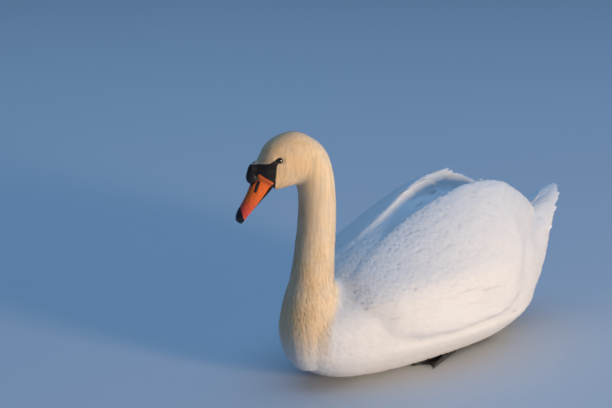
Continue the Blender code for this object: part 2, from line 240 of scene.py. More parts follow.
class Finish:
    """A material in the making."""

    def __init__(self, name, **fixed):
        self.material = bpy.data.materials.new(name)
        self.material.use_nodes = True
        self.tree = self.material.node_tree
        self.shader = self.tree.nodes["Principled BSDF"]
        for label, value in fixed.items():
            self.shader.inputs[label.replace("_", " ").title().replace("Ior", "IOR")].default_value = value

    def add(self, kind, settings=None, sockets=None, output=0):
        """Adds one node: its settings first, then a value or link for each socket named or numbered."""
        node = self.tree.nodes.new(kind)
        for label, value in (settings or {}).items():
            setattr(node, label, value)
        for label, value in (sockets or {}).items():
            if isinstance(value, Wire):
                self.tree.links.new(value.socket, node.inputs[label])
            else:
                node.inputs[label].default_value = value
        return Wire(self, node.outputs[output])

    def feed(self, label, wire):
        """Links a value that changes over the surface to the shader."""
        self.tree.links.new(wire.socket, self.shader.inputs[label])

    def place(self):
        """The point on the object."""
        return self.add("ShaderNodeTexCoord", output="Object")

    def part(self, vector, axis):
        """One of a vector's three numbers."""
        return self.add("ShaderNodeSeparateXYZ", None, {0: vector}, output=axis)

    def along(self, vector, direction, origin=(0, 0, 0)):
        """How far a point is from an origin in a direction."""
        step = self.add("ShaderNodeVectorMath", {"operation": "SUBTRACT"}, {0: vector, 1: tuple(origin)})
        ends = {0: step, 1: tuple(direction)}
        return self.add("ShaderNodeVectorMath", {"operation": "DOT_PRODUCT"}, ends, output="Value")

    def noise(self, vector, scale, detail=3.0):
        """A cloudy pattern of so many lumps to the metre."""
        return self.add("ShaderNodeTexNoise", None, {"Vector": vector, "Scale": scale, "Detail": detail})

    def streaks(self, vector, scale, detail=3.0):
        """A cloudy pattern that is drawn out along one axis."""
        drawn = self.add("ShaderNodeMapping", None, {"Vector": vector, "Scale": scale})
        return self.noise(drawn, 1.0, detail)

    def cracks(self, vector, scale):
        """A pattern of cells: how far each place is from the edge of its cell."""
        return self.add(
            "ShaderNodeTexVoronoi", {"feature": "DISTANCE_TO_EDGE"}, {"Vector": vector, "Scale": scale},
            output="Distance",
        )

    def ramp(self, value, low, high, start=0.0, end=1.0):
        """A smooth step from start to end as the value goes from low to high."""
        return self.add(
            "ShaderNodeMapRange", {"interpolation_type": "SMOOTHSTEP"},
            {"Value": value, "From Min": low, "From Max": high, "To Min": start, "To Max": end},
        )

    def blend(self, share, first, second):
        """A mix of two colours."""
        return self.mixed({}, share, self.colour(first), self.colour(second))

    def shade(self, colour, value):
        """A colour made darker or lighter by a number."""
        grey = self.add("ShaderNodeCombineXYZ", None, {0: value, 1: value, 2: value})
        return self.mixed({"blend_type": "MULTIPLY"}, 1.0, self.colour(colour), grey)

    def mixed(self, settings, share, first, second):
        sockets = {"Factor": share, MIX_FIRST: first, MIX_SECOND: second}
        return self.add("ShaderNodeMix", {"data_type": "RGBA", **settings}, sockets, output=MIX_RESULT)

    @staticmethod
    def colour(value):
        return value if isinstance(value, Wire) else (*value, 1.0)

    def relief(self, height, distance, strength):
        """Turns a height into a bump on the shader's normal."""
        sockets = {"Height": height, "Distance": distance, "Strength": strength}
        self.feed("Normal", self.add("ShaderNodeBump", None, sockets))

    def distance_from(self, place, point):
        """How far a place is from a point."""
        sockets = {0: place, 1: tuple(point)}
        return self.add("ShaderNodeVectorMath", {"operation": "DISTANCE"}, sockets, output="Value")


# Where the neck's stain fades into the white of the body: heights on the breast, distances from the neck's
# axis, which leans forward towards its foot, and the height above which the whole head is stained. The tan
# is palest at the nape, partly a paler stain and partly painted light on the back of the neck. It is broken
# by patches, and fine streaks down the neck darken it; these are partly the plumage's own streaks and partly
# painted shade in its furrows.
STAIN_Z = (0.030, 0.130)
STAIN_ASIDE = (0.048, 0.064)
AXIS_Z, AXIS_Y = (0.11, 0.30), (-0.325, -0.289)
HEAD_Z = (0.310, 0.335)
NAPE_Y, NAPE_SHARE = (-0.345, -0.262), 0.75
NECK_STREAKS_AND_FURROW_SHADE = (210.0, 210.0, 16.0)


def stain_share(finish, place):
    """How stained the plumage is at a place: the head and neck are, and the body is not."""
    x, y, z = (finish.part(place, axis) for axis in "XYZ")
    height = finish.ramp(z, *STAIN_Z)
    aside = (x ** 2.0 + (y - finish.ramp(z, *AXIS_Z, *AXIS_Y)) ** 2.0) ** 0.5
    near = finish.ramp(aside, *STAIN_ASIDE, 1.0, 0.0).most(finish.ramp(z, *HEAD_Z))
    mottle = finish.ramp(finish.noise(place, 34.0, 4.0), 0.25, 0.75, 0.78, 1.0)
    return height * near * mottle


def plumage_colour(finish, place, colours):
    """White on the body and tan on head and neck, with the same markings on skin and feathers."""
    share = stain_share(finish, place)
    # Towards the nape the tan turns paler: partly a paler stain, partly painted light on the back of the neck
    nape = finish.ramp(finish.part(place, "Y"), *NAPE_Y)
    tan = finish.blend(nape * NAPE_SHARE, colours.stain, colours.pale_stain_and_light)
    # Fine streaks down the neck: partly the plumage's own streaks, partly painted shade in the furrows of its
    # plumage
    tan = finish.shade(tan, finish.ramp(finish.streaks(place, NECK_STREAKS_AND_FURROW_SHADE, 2.0), 0.3, 0.7, 0.86, 1.05))
    cloud = finish.ramp(finish.noise(place, 9.0), 0.3, 0.7, 0.965, 1.0)
    white = finish.shade(colours.white, cloud)
    return finish.blend(share, white, tan)


# The black skin before the eye, in the bill's frame (out, above): its upper edge runs from the knob to the
# eye and its rear edge from the eye round the corner of the mouth, and it ends softly. Forward of
# SHEATH_EDGE, between two heights, the bill's horn spreads over the face, with the skin SHEATH_DEPTH under it,
# and no feathers grow above CHIN.
LORE_TOP = ((-0.0450, 0.0196), (-0.0301, 0.0254), (-0.0150, 0.0420))
LORE_REAR = ((-0.0450, 0.0150), (-0.0318, 0.0132), (-0.0124, 0.0021), (0.0060, -0.0118))
SHEATH_EDGE = -0.0058
SHEATH_LOW, SHEATH_HIGH = 0.0004, 0.0288
SHEATH_DEPTH = 0.0011
CHIN = -0.0080
FACE_REACH = 0.062
LORE_SOFTNESS = 0.0008
LORE_BROWN = (0.060, 0.043, 0.024)
# The bare ring round the eye, as a share of the eye's radius
EYE_RING = 0.86

# The knob leans back from the bill's ridge onto the forehead: half its length, depth and width, how much
# fuller it is towards the bill, and how full it is in all
KNOB_LEAN = math.radians(28.7)
KNOB_RADII = (0.0200, 0.0130, 0.0115)
KNOB_TAPER, KNOB_GIRTH = 0.45, 0.92
KNOB_WAYS = np.array([
    OUTWARD * math.cos(KNOB_LEAN) - ABOVE * math.sin(KNOB_LEAN),
    OUTWARD * math.sin(KNOB_LEAN) + ABOVE * math.cos(KNOB_LEAN),
    LEFTWARD,
], float)


def lines_of(points, sign):
    """The lines through a row of points in the bill's frame, as (weight of out, weight of above, offset)."""
    rows = []
    for start, end in zip(points, points[1:]):
        step = np.array(end) - np.array(start)
        normal = sign * np.array((step[1], -step[0])) / np.linalg.norm(step)
        rows.append((float(normal[0]), float(normal[1]), float(normal @ np.array(start))))
    return rows


def lore_depth(points):
    """How far inside the bare black skin world points are, negative outside it."""
    points = np.asarray(points, float)
    spots = in_bill(points)
    edges = []
    for row, sign in ((LORE_TOP, 1.0), (LORE_REAR, -1.0)):
        sides = [a * spots[:, 0] + b * spots[:, 1] - c for a, b, c in lines_of(row, sign)]
        edges.append(np.max(sides, axis=0))
    edges.append(FACE_REACH - np.linalg.norm(points - np.array(GAPE), axis=1))
    edges.append(spots[:, 0] + EYE_BEHIND)
    depth = np.min(edges, axis=0)
    for node in ("eye_left", "eye_right"):
        away = np.linalg.norm(points - np.array(middle(node)), axis=1)
        depth = np.maximum(depth, EYE_RADIUS * EYE_RING - away)
    return depth


def sheathed(points, inset=-0.001, low=CHIN):
    """True on the bill's base, where no feathers grow, or with an inset and a low edge under its horn."""
    spots = in_bill(points)
    near = np.linalg.norm(np.asarray(points, float) - np.array(GAPE), axis=1) < FACE_REACH
    return near & (spots[:, 0] > SHEATH_EDGE + inset) & (spots[:, 1] > low)


def knob_depth(points):
    """How far inside the knob points are, negative outside it."""
    steps = (np.asarray(points, float) - np.array(middle("knob"))) @ KNOB_WAYS.T
    return (1 - np.linalg.norm(steps / np.array(KNOB_RADII), axis=1)) * min(KNOB_RADII)


def lore_mask(finish, place):
    """The share of bare black skin: 1 before the eye and 0 elsewhere, by the same edges as lore_depth."""
    out = finish.along(place, OUTWARD, GAPE)
    above = finish.along(place, ABOVE, GAPE)
    depth = (out + EYE_BEHIND).least(FACE_REACH - finish.distance_from(place, GAPE))
    for row, sign in ((LORE_TOP, 1.0), (LORE_REAR, -1.0)):
        edge = None
        for a, b, c in lines_of(row, sign):
            side = out * a + above * b - c
            edge = side if edge is None else edge.most(side)
        depth = depth.least(edge)
    for node in ("eye_left", "eye_right"):
        depth = depth.most(EYE_RADIUS * EYE_RING - finish.distance_from(place, middle(node)))
    return finish.ramp(depth, -LORE_SOFTNESS, LORE_SOFTNESS)


# The barbs of a feather, as a pattern over its width and length: how many across and along, how far each
# feather's pattern is from the next one's, how close they are and how deep
BARBS_ACROSS, BARBS_ALONG, BARBS_APART, BARBS_SCALE = 0.8, 2.4, 5.0, 7.0
BARBS_HEIGHT, DOWN_HEIGHT, VANE_RELIEF = 0.35, 0.4, 0.00025


def plumage_finish(name, colours):
    """Feathers: tinted by place, by each feather's own tone, by painted shade towards each root and by the fine
    barbs along it.
    """
    finish = Finish(name, roughness=0.62, sheen_weight=0.12, sheen_roughness=0.5, specular_ior_level=0.25)
    place = finish.place()
    tone = finish.add("ShaderNodeAttribute", {"attribute_name": "tone"}, output="Fac")
    vane = finish.add("ShaderNodeUVMap", {"uv_map": "Vane"})
    across = abs(finish.part(vane, "X") - 0.5) * 2.0
    along = finish.part(vane, "Y")
    colour = plumage_colour(finish, place, colours)
    value = finish.ramp(tone, 0.0, 1.0, 0.970, 1.0)
    # Each feather is darker towards its root: painted shade where it lies under the feathers that overlap it
    value = value * finish.ramp(along, 0.0, 0.45, 0.90, 1.0)
    value = value * finish.ramp(across, 0.0, 0.10, 0.985, 1.0)
    finish.feed("Base Color", finish.shade(colour, value))
    ways = {0: across * BARBS_ACROSS, 1: along * BARBS_ALONG, 2: tone * BARBS_APART}
    spread = finish.add("ShaderNodeCombineXYZ", None, ways)
    barbs = finish.add(
        "ShaderNodeTexWave", {"wave_type": "BANDS", "bands_direction": "DIAGONAL"},
        {"Vector": spread, "Scale": BARBS_SCALE, "Distortion": 1.5, "Detail": 1.0}, output="Fac",
    )
    finish.relief(barbs * BARBS_HEIGHT + finish.noise(place, 900.0, 2.0) * DOWN_HEIGHT, VANE_RELIEF, 0.35)
    return finish.material


# ---------------------------------------------------------------------------------------------------------
# Modelling


def deselect():
    """Leaves object mode with nothing selected."""
    if bpy.context.object and bpy.context.object.mode != "OBJECT":
        bpy.ops.object.mode_set(mode="OBJECT")
    bpy.ops.object.select_all(action="DESELECT")


def pick(*things):
    """Selects these objects alone; the first is the active one."""
    deselect()
    for thing in things:
        thing.select_set(True)
    bpy.context.view_layer.objects.active = things[0]


def modify(thing, kind, **settings):
    """Adds a modifier and applies it."""
    pick(thing)
    modifier = thing.modifiers.new(kind.title(), kind)
    for label, value in settings.items():
        setattr(modifier, label, value)
    bpy.ops.object.modifier_apply(modifier=modifier.name)
    return thing


def node_copy(node):
    """A merged copy of a CAD node's mesh, as its own object."""
    made = bpy.data.objects.new(f"copy_of_{node}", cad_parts[node].data.copy())
    bpy.context.scene.collection.objects.link(made)
    made.data.materials.clear()
    pick(made)
    bpy.ops.object.mode_set(mode="EDIT")
    bpy.ops.mesh.select_all(action="SELECT")
    bpy.ops.mesh.remove_doubles(threshold=1e-6)
    bpy.ops.mesh.normals_make_consistent(inside=False)
    bpy.ops.object.mode_set(mode="OBJECT")
    bpy.ops.mesh.customdata_custom_splitnormals_clear()
    return made


def settle(thing, name, material, replaced=()):
    """Names a finished piece, applies its place, gives it its material and fixes it to the bird."""
    pick(thing)
    bpy.ops.object.transform_apply(location=True, rotation=True, scale=True)
    thing.name = thing.data.name = name
    thing.data.materials.clear()
    thing.data.materials.append(material)
    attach(thing, BODY)
    if replaced:
        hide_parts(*replaced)
    return thing


def read(items, label):
    """Vectors read from a mesh as an array, one row for each."""
    values = np.empty(len(items) * 3, np.float32)
    items.foreach_get(label, values)
    return values.reshape(-1, 3)


def coordinates(thing):
    """A mesh's points as an array."""
    return read(thing.data.vertices, "co").astype(float)


def normals_of(thing):
    """A mesh's point normals as an array."""
    return read(thing.data.vertex_normals, "vector").astype(float)


def place_points(thing, points):
    """Puts a mesh's points where the array says."""
    thing.data.vertices.foreach_set("co", points.astype(np.float32).ravel())
    thing.data.update()


def swell(thing, distance):
    """Moves a mesh's surface outwards by a distance, or inwards where it is below zero."""
    modify(thing, "DISPLACE", strength=distance, mid_level=0.0, direction="NORMAL")


def remesh(thing, grain):
    """Makes a mesh anew, as one closed surface of even small faces."""
    modify(thing, "REMESH", mode="VOXEL", voxel_size=grain)


def smooth(thing, rounds):
    """Evens out a mesh's surface."""
    modify(thing, "SMOOTH", factor=0.5, iterations=rounds)


def keep_above(points, height):
    """The points, with none lower than a height."""
    lifted = points.copy()
    lifted[..., 2] = np.maximum(points[..., 2], height)
    return lifted


def step_between(value, low, high):
    """A smooth step from 0 at low to 1 at high, for arrays."""
    share = np.clip((value - low) / (high - low), 0.0, 1.0)
    return share * share * (3 - 2 * share)


# The share of the skin's faces that is kept, how far the flesh is swollen so that its nodes join, and how
# high above the floor plumage, form and skin stay
SKIN_SHARE = 0.55
SKIN_JOIN = 0.0005
FEATHER_FLOOR, FORM_FLOOR, SKIN_FLOOR = 0.0003, 0.0004, 0.0012

# The line along which the wing's edge is bedded into breast and flank, on the left: how thick the bed is from
# front to rear, and how far it stands out from the line, away from the body's core
BED_LINE = (
    (0.0391, -0.2452, 0.1752), (0.0760, -0.2630, 0.1465), (0.0992, -0.2495, 0.1277),
    (0.1180, -0.2150, 0.1010), (0.1394, -0.1582, 0.0934), (0.1533, -0.0929, 0.0940),
    (0.1600, -0.0458, 0.0980), (0.1610, 0.0098, 0.1010), (0.1530, 0.0670, 0.1084), (0.1440, 0.1000, 0.1300),
)
BED_RADIUS, BED_RISE, BED_STEP = 0.022, 0.0015, 0.010
BED_SHARES = ((-0.26, -0.20, 0.04, 0.10), (0.8, 1.0, 1.0, 0.6))
BED_CORE = (-0.200, 0.120)


def wing_beds():
    """Rows of balls that bed both wings' edges into breast and flank, joined to the skin's form."""
    balls = []
    for side in (1, -1):
        line = np.array(BED_LINE) * np.array([side, 1, 1])
        for point in spaced(line, BED_STEP)[0]:
            core = np.array([0.0, max(point[1], BED_CORE[0]), BED_CORE[1]])
            outward = unit(point - core)
            radius = BED_RADIUS * np.interp(point[1], *BED_SHARES)
            deselect()
            bpy.ops.mesh.primitive_uv_sphere_add(
                segments=20, ring_count=12, radius=radius, location=point - outward * (radius - BED_RISE)
            )
            balls.append(bpy.context.object)
    return balls


# The form of the bird without its coat's relief, which feathers are laid on; the skin operator fills it
form = {}


# How deep the coat is on the head, how much deeper on the breast and behind the neck, and again behind the
# neck, where that is, and how it thins towards the bare skin before the eye. Then how far inside the horn's
# rear edge, its low edge and the knob the skin lies under the horn.
COAT_DEPTH, BREAST_DEPTH, BACK_DEPTH = 0.0012, 0.0016, 0.0012
BACK_Y, BREAST_Z = (-0.262, -0.20), (0.12, 0.22)
COAT_THINS = (-0.004, 0.001)
UNDER_EDGE, UNDER_LOW, UNDER_KNOB = 0.0012, 0.0006, 0.0004


def depth_of_coat(points):
    """How far the skin lies inside the plumage's surface."""
    back = step_between(points[:, 1], *BACK_Y)
    breast = 1 - step_between(points[:, 2], *BREAST_Z)
    depth = COAT_DEPTH + BREAST_DEPTH * np.maximum(breast, back) + BACK_DEPTH * back
    depth *= 1 - step_between(lore_depth(points), *COAT_THINS)
    under_horn = sheathed(points, UNDER_EDGE, SHEATH_LOW + UNDER_LOW) | (knob_depth(points) > UNDER_KNOB)
    return np.where(under_horn, SHEATH_DEPTH, depth)


# How far the coat closes the creases between wings, back and neck, and under the wings, and the heights of
# the belly, the throat and the flank, and the place behind the neck, where that changes
CREASE_FILL, FLANK_FILL = 0.0085, 0.0150
BELLY_Z, THROAT_Z, FLANK_Z, BEHIND_Y = (0.03, 0.07), (0.24, 0.28), (0.16, 0.20), (-0.24, -0.20)


def crease_fill(points):
    """How far creases are filled: not at all on the belly, the throat and the face."""
    y, z = points[:, 1], points[:, 2]
    behind = step_between(y, *BEHIND_Y)
    flank = (1 - step_between(z, *FLANK_Z)) * behind
    filled = np.maximum(1 - step_between(z, *THROAT_Z), behind)
    return step_between(z, *BELLY_Z) * filled * (CREASE_FILL + (FLANK_FILL - CREASE_FILL) * flank)


def nearest_flesh(points):
    """For each point, the place in FLESH of the node that it is nearest to."""
    gaps = []
    for node in FLESH:
        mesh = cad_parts[node].data
        corners = [tuple(v.co) for v in mesh.vertices]
        tree = BVHTree.FromPolygons(corners, [tuple(f.vertices) for f in mesh.polygons])
        gaps.append([tree.find_nearest(point)[3] for point in points])
    return np.argmin(gaps, axis=0)


class SWAN_OT_skin(bpy.types.Operator):
    """Makes one skin of head, neck, trunk and wings"""

    bl_idname = "swan.skin"
    bl_label = "Skin"

    def execute(self, context):
        coat = context.scene.swan_coat
        copies = [node_copy(node) for node in (*FLESH, "knob")]
        for thing in copies:
            swell(thing, SKIN_JOIN)
        pick(*copies, *wing_beds())
        bpy.ops.object.join()
        skin = copies[0]
        remesh(skin, coat.voxel)
        smooth(skin, 2)
        # Swollen and then shrunk again, the form keeps its size, and its creases stay closed
        for sign, rounds in ((1, 3), (-1, 6)):
            points = coordinates(skin)
            place_points(skin, points + normals_of(skin) * (sign * crease_fill(points))[:, None])
            remesh(skin, coat.voxel)
            smooth(skin, rounds)
        points = keep_above(coordinates(skin), FORM_FLOOR)
        place_points(skin, points)
        normals = normals_of(skin)
        faces = [tuple(f.vertices) for f in skin.data.polygons]
        form["tree"] = BVHTree.FromPolygons([tuple(p) for p in points], faces)
        form["points"], form["normals"], form["faces"] = points, normals, np.array(faces)
        form["facing"] = unit(normals[form["faces"]].mean(axis=1))
        form["part"] = nearest_flesh(points)
        place_points(skin, keep_above(points - normals * depth_of_coat(points)[:, None], SKIN_FLOOR))
        modify(skin, "DECIMATE", ratio=SKIN_SHARE)
        bpy.ops.object.shade_smooth()
        settle(skin, "skin", skin_finish(context.scene.swan_colours), FLESH)
        return {"FINISHED"}


def skin_finish(colours):
    """The skin: the coat's markings, and black mottled with brown before the eye."""
    finish = Finish("skin", roughness=0.6, specular_ior_level=0.3)
    place = finish.place()
    colour = plumage_colour(finish, place, colours)
    grain = finish.noise(place, 420.0)
    colour = finish.shade(colour, finish.ramp(grain, 0.3, 0.7, 0.90, 1.0))
    mottle = finish.ramp(finish.noise(place, 190.0), 0.35, 0.7)
    bare = finish.blend(mottle * 0.5, colours.black, LORE_BROWN)
    colour = finish.blend(lore_mask(finish, place), colour, bare)
    finish.feed("Base Color", colour)
    finish.relief(grain, 0.0004, 0.5)
    return finish.material


# ---------------------------------------------------------------------------------------------------------
# Plumage


# The spine's places in the trunk, along the bird and above the floor, and the height of its bend at the rump
TRUNK_SPINE = ((-0.245, 0.098), (-0.150, 0.105), (0.0, 0.120), (0.180, 0.150))
BREAST_SPINE_Z, RUMP_SPINE_Z = 0.120, 0.185
SPINE_STEPS_EACH = 8


def spine_line():
    """The line through the bird that the lie of its coat follows, from the knob to the tail."""
    head = (middle("eye_left") + middle("eye_right")) / 2
    upper, lower = middle("neck_upper"), middle("neck_lower")
    neck_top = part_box("neck_upper")[1].z
    tail_low, tail_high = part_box("tail")
    rump_y = (tail_low.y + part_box("trunk")[1].y) / 2 - 0.03
    marks = [
        from_bill(0.004, 0.022, 0), head + UP * 0.004, (0, upper.y - 0.018, neck_top + 0.048),
        (0, upper.y + 0.004, neck_top), upper, middle("neck_middle"), (0, lower.y, lower.z + 0.035),
        (0, lower.y + 0.006, BREAST_SPINE_Z), *((0, *place) for place in TRUNK_SPINE),
        (0, rump_y, RUMP_SPINE_Z), (0, tail_high.y, tail_high.z),
    ]
    marks = np.array([tuple(Vector(m)) for m in marks])
    padded = np.vstack([2 * marks[0] - marks[1], marks, 2 * marks[-1] - marks[-2]])
    line = []
    for k in range(1, len(padded) - 2):
        a, b, c, d = padded[k - 1:k + 3]
        for t in np.linspace(0, 1, SPINE_STEPS_EACH + 1)[:-1]:
            line.append(b + 0.5 * t * (c - a + t * (2 * a - 5 * b + 4 * c - d + t * (3 * (b - c) + d - a))))
    line.append(marks[-1])
    return np.array(line)


def reach_along(line):
    """How far each point of a line is from its start, along it."""
    return np.concatenate([[0.0], np.cumsum(np.linalg.norm(np.diff(line, axis=0), axis=1))])


SPINE = spine_line()
SPINE_STEPS = np.gradient(SPINE, axis=0)
SPINE_WAYS = SPINE_STEPS / np.linalg.norm(SPINE_STEPS, axis=1, keepdims=True)
SPINE_REACH = reach_along(SPINE)


def by_spine(points):
    """For each point: the way the spine runs there, and how far along the spine it is."""
    gaps = np.linalg.norm(points[:, None, :] - SPINE[None, :, :], axis=2)
    weights = 1.0 / (gaps ** 2 + 1e-5) ** 3
    weights /= weights.sum(axis=1, keepdims=True)
    return weights @ SPINE_WAYS, weights @ SPINE_REACH


def unit(vectors):
    """Vectors of length one."""
    return vectors / np.maximum(np.linalg.norm(vectors, axis=-1, keepdims=True), 1e-9)


def along_surface(ways, normals):
    """Ways with the part that points into or out of the surface taken away."""
    return unit(ways - normals * (ways * normals).sum(axis=1, keepdims=True))


# Where the coat's lie turns from the spine's to straight back, and the way it then runs, and how much the
# wing's coat rises or falls as it runs back, by place
LIE_TURNS_Y, LIE_BACK = (-0.272, -0.240), (0.0, 1.0, 0.25)
WING_RISE = ((-0.26, -0.16, -0.05, 0.08, 0.20, 0.29), (0.85, 0.60, 0.34, 0.10, -0.25, -0.45))


def body_lie(points, normals):
    """The lie of the coat on head, neck and trunk: along the spine, and straight back behind the neck."""
    behind = step_between(points[:, 1], *LIE_TURNS_Y)[:, None]
    return along_surface(by_spine(points)[0] * (1 - behind) + np.array(LIE_BACK) * behind, normals)


def wing_lie(points, normals):
    """The lie of the coat on a wing: up and back near the wrist, level along the middle, down at the rear."""
    y = points[:, 1]
    ways = np.stack([np.zeros(len(y)), np.ones(len(y)), np.interp(y, *WING_RISE)], axis=1)
    return along_surface(ways, normals)


def flank_lie(points, normals):
    """The lie of the long flank feathers: level, straight back."""
    return along_surface(np.tile([0.0, 1.0, 0.04], (len(points), 1)), normals)


# How many places are tried for each one that is kept
CROWD = 8


def scatter(rng, nodes, spacing, keep=None):
    """Seeded places on some nodes' share of the form, none closer than the spacing, with their normals."""
    faces = form["faces"]
    faces = faces[np.isin(form["part"][faces[:, 0]], [FLESH.index(node) for node in nodes])]
    triangles = np.concatenate([faces[:, [0, 1, 2]], faces[:, [0, 2, 3]]])
    a, b, c = (form["points"][triangles[:, k]] for k in range(3))
    areas = np.linalg.norm(np.cross(b - a, c - a), axis=1) / 2
    wanted = areas / spacing((a + b + c) / 3) ** 2
    chosen = rng.choice(len(areas), int(wanted.sum() * CROWD), p=wanted / wanted.sum())
    u, v = rng.random((2, len(chosen)))
    flip = u + v > 1
    u[flip], v[flip] = 1 - u[flip], 1 - v[flip]
    shares = np.stack([1 - u - v, u, v], axis=1)[:, :, None]
    spots = (form["points"][triangles[chosen]] * shares).sum(axis=1)
    normals = unit((form["normals"][triangles[chosen]] * shares).sum(axis=1))
    if keep is not None:
        kept = keep(spots, normals)
        spots, normals = spots[kept], normals[kept]
    reach = spacing(spots)
    tree = KDTree(len(spots))
    for k, spot in enumerate(spots):
        tree.insert(spot, k)
    tree.balance()
    blocked = np.zeros(len(spots), bool)
    picked = []
    for k in range(len(spots)):
        if not blocked[k]:
            picked.append(k)
            for _, other, _ in tree.find_range(spots[k], reach[k]):
                blocked[other] = True
    return spots[picked], normals[picked]


class Vane:
    """The shape that one kind of feather shares.

    It holds where the rings are along a feather and how wide they are, as shares, and where a ring's points
    are across it, then the feather's hollow, thickness and softness.
    """

    def __init__(self, along, width, across, camber, thickness, softness):
        self.along = np.array(along)
        self.width = np.array(width)
        self.across = np.array(across)
        self.camber = camber
        self.thickness = thickness
        self.softness = softness

    def faces(self):
        """Faces over the points root, rings, tip: each ring is the upper side left to right, then the lower.

        After the four-sided and three-sided faces come lists that say which of them are on the upper side.
        """
        columns = len(self.across)
        count = 2 * columns - 2
        rings = len(self.along)
        quads, triangles = [], []
        for ring in range(rings - 1):
            base = 1 + ring * count
            for k in range(count):
                n = (k + 1) % count
                quads.append((base + k, base + n, base + count + n, base + count + k))
        tip = 1 + rings * count
        for k in range(count):
            n = (k + 1) % count
            triangles.append((0, 1 + n, 1 + k))
            triangles.append((tip, 1 + (rings - 1) * count + k, 1 + (rings - 1) * count + n))
        upper = np.arange(count) < columns - 1
        return np.array(quads), np.array(triangles), np.tile(upper, rings - 1), np.repeat(upper, 2)


FINE = Vane((0.28, 0.62, 0.88), (0.80, 1.0, 0.55), (-1, 0, 1), 0.12, 0.0009, 0.66)
SOFT = Vane((0.18, 0.45, 0.70, 0.90), (0.66, 1.0, 0.96, 0.60), (-1, -0.5, 0, 0.5, 1), 0.10, 0.0011, 0.42)
LONG_ALONG = (0.05, 0.15, 0.30, 0.45, 0.60, 0.75, 0.86, 0.94, 0.985)
LONG_ACROSS = (-1, -0.6, -0.25, 0, 0.25, 0.6, 1)
LONG = Vane(
    LONG_ALONG, (0.30, 0.62, 0.86, 0.96, 1.0, 0.98, 0.88, 0.64, 0.34), LONG_ACROSS, 0.08, 0.0010, 0.22
)
POINTED = Vane(
    LONG_ALONG, (0.40, 0.75, 0.95, 1.0, 0.96, 0.84, 0.64, 0.38, 0.16), LONG_ACROSS, 0.08, 0.0008, 0.15
)


def snap(points):
    """The nearest places on the form, and its normals there."""
    flat = points.reshape(-1, 3)
    places = np.empty_like(flat)
    faces = np.empty(len(flat), int)
    find = form["tree"].find_nearest
    for k, point in enumerate(flat):
        places[k], _, faces[k], _ = find(point)
    return places.reshape(points.shape), form["facing"][faces].reshape(points.shape)


def track(roots, normals, ways, lengths, shares, lie=None):
    """Walks each feather's middle line over the form and returns its points, normals and ways, per share."""
    spot, facing, heading = roots.copy(), normals.copy(), ways.copy()
    rows = []
    before = 0.0
    for share in shares:
        if share > before:
            spot, facing = snap(spot + heading * (lengths * (share - before))[:, None])
            heading = along_surface(heading if lie is None else lie(spot, facing), facing)
        rows.append((spot, facing, heading))
        before = share
    return [np.stack(row, axis=1) for row in zip(*rows)]


# Vanes narrower than this are thinner in proportion, each feather's patch on the bake map is this large, and
# the maps keep this margin
FULL_WIDTH, PATCH, MAP_MARGIN = 0.01, 0.003, 0.02


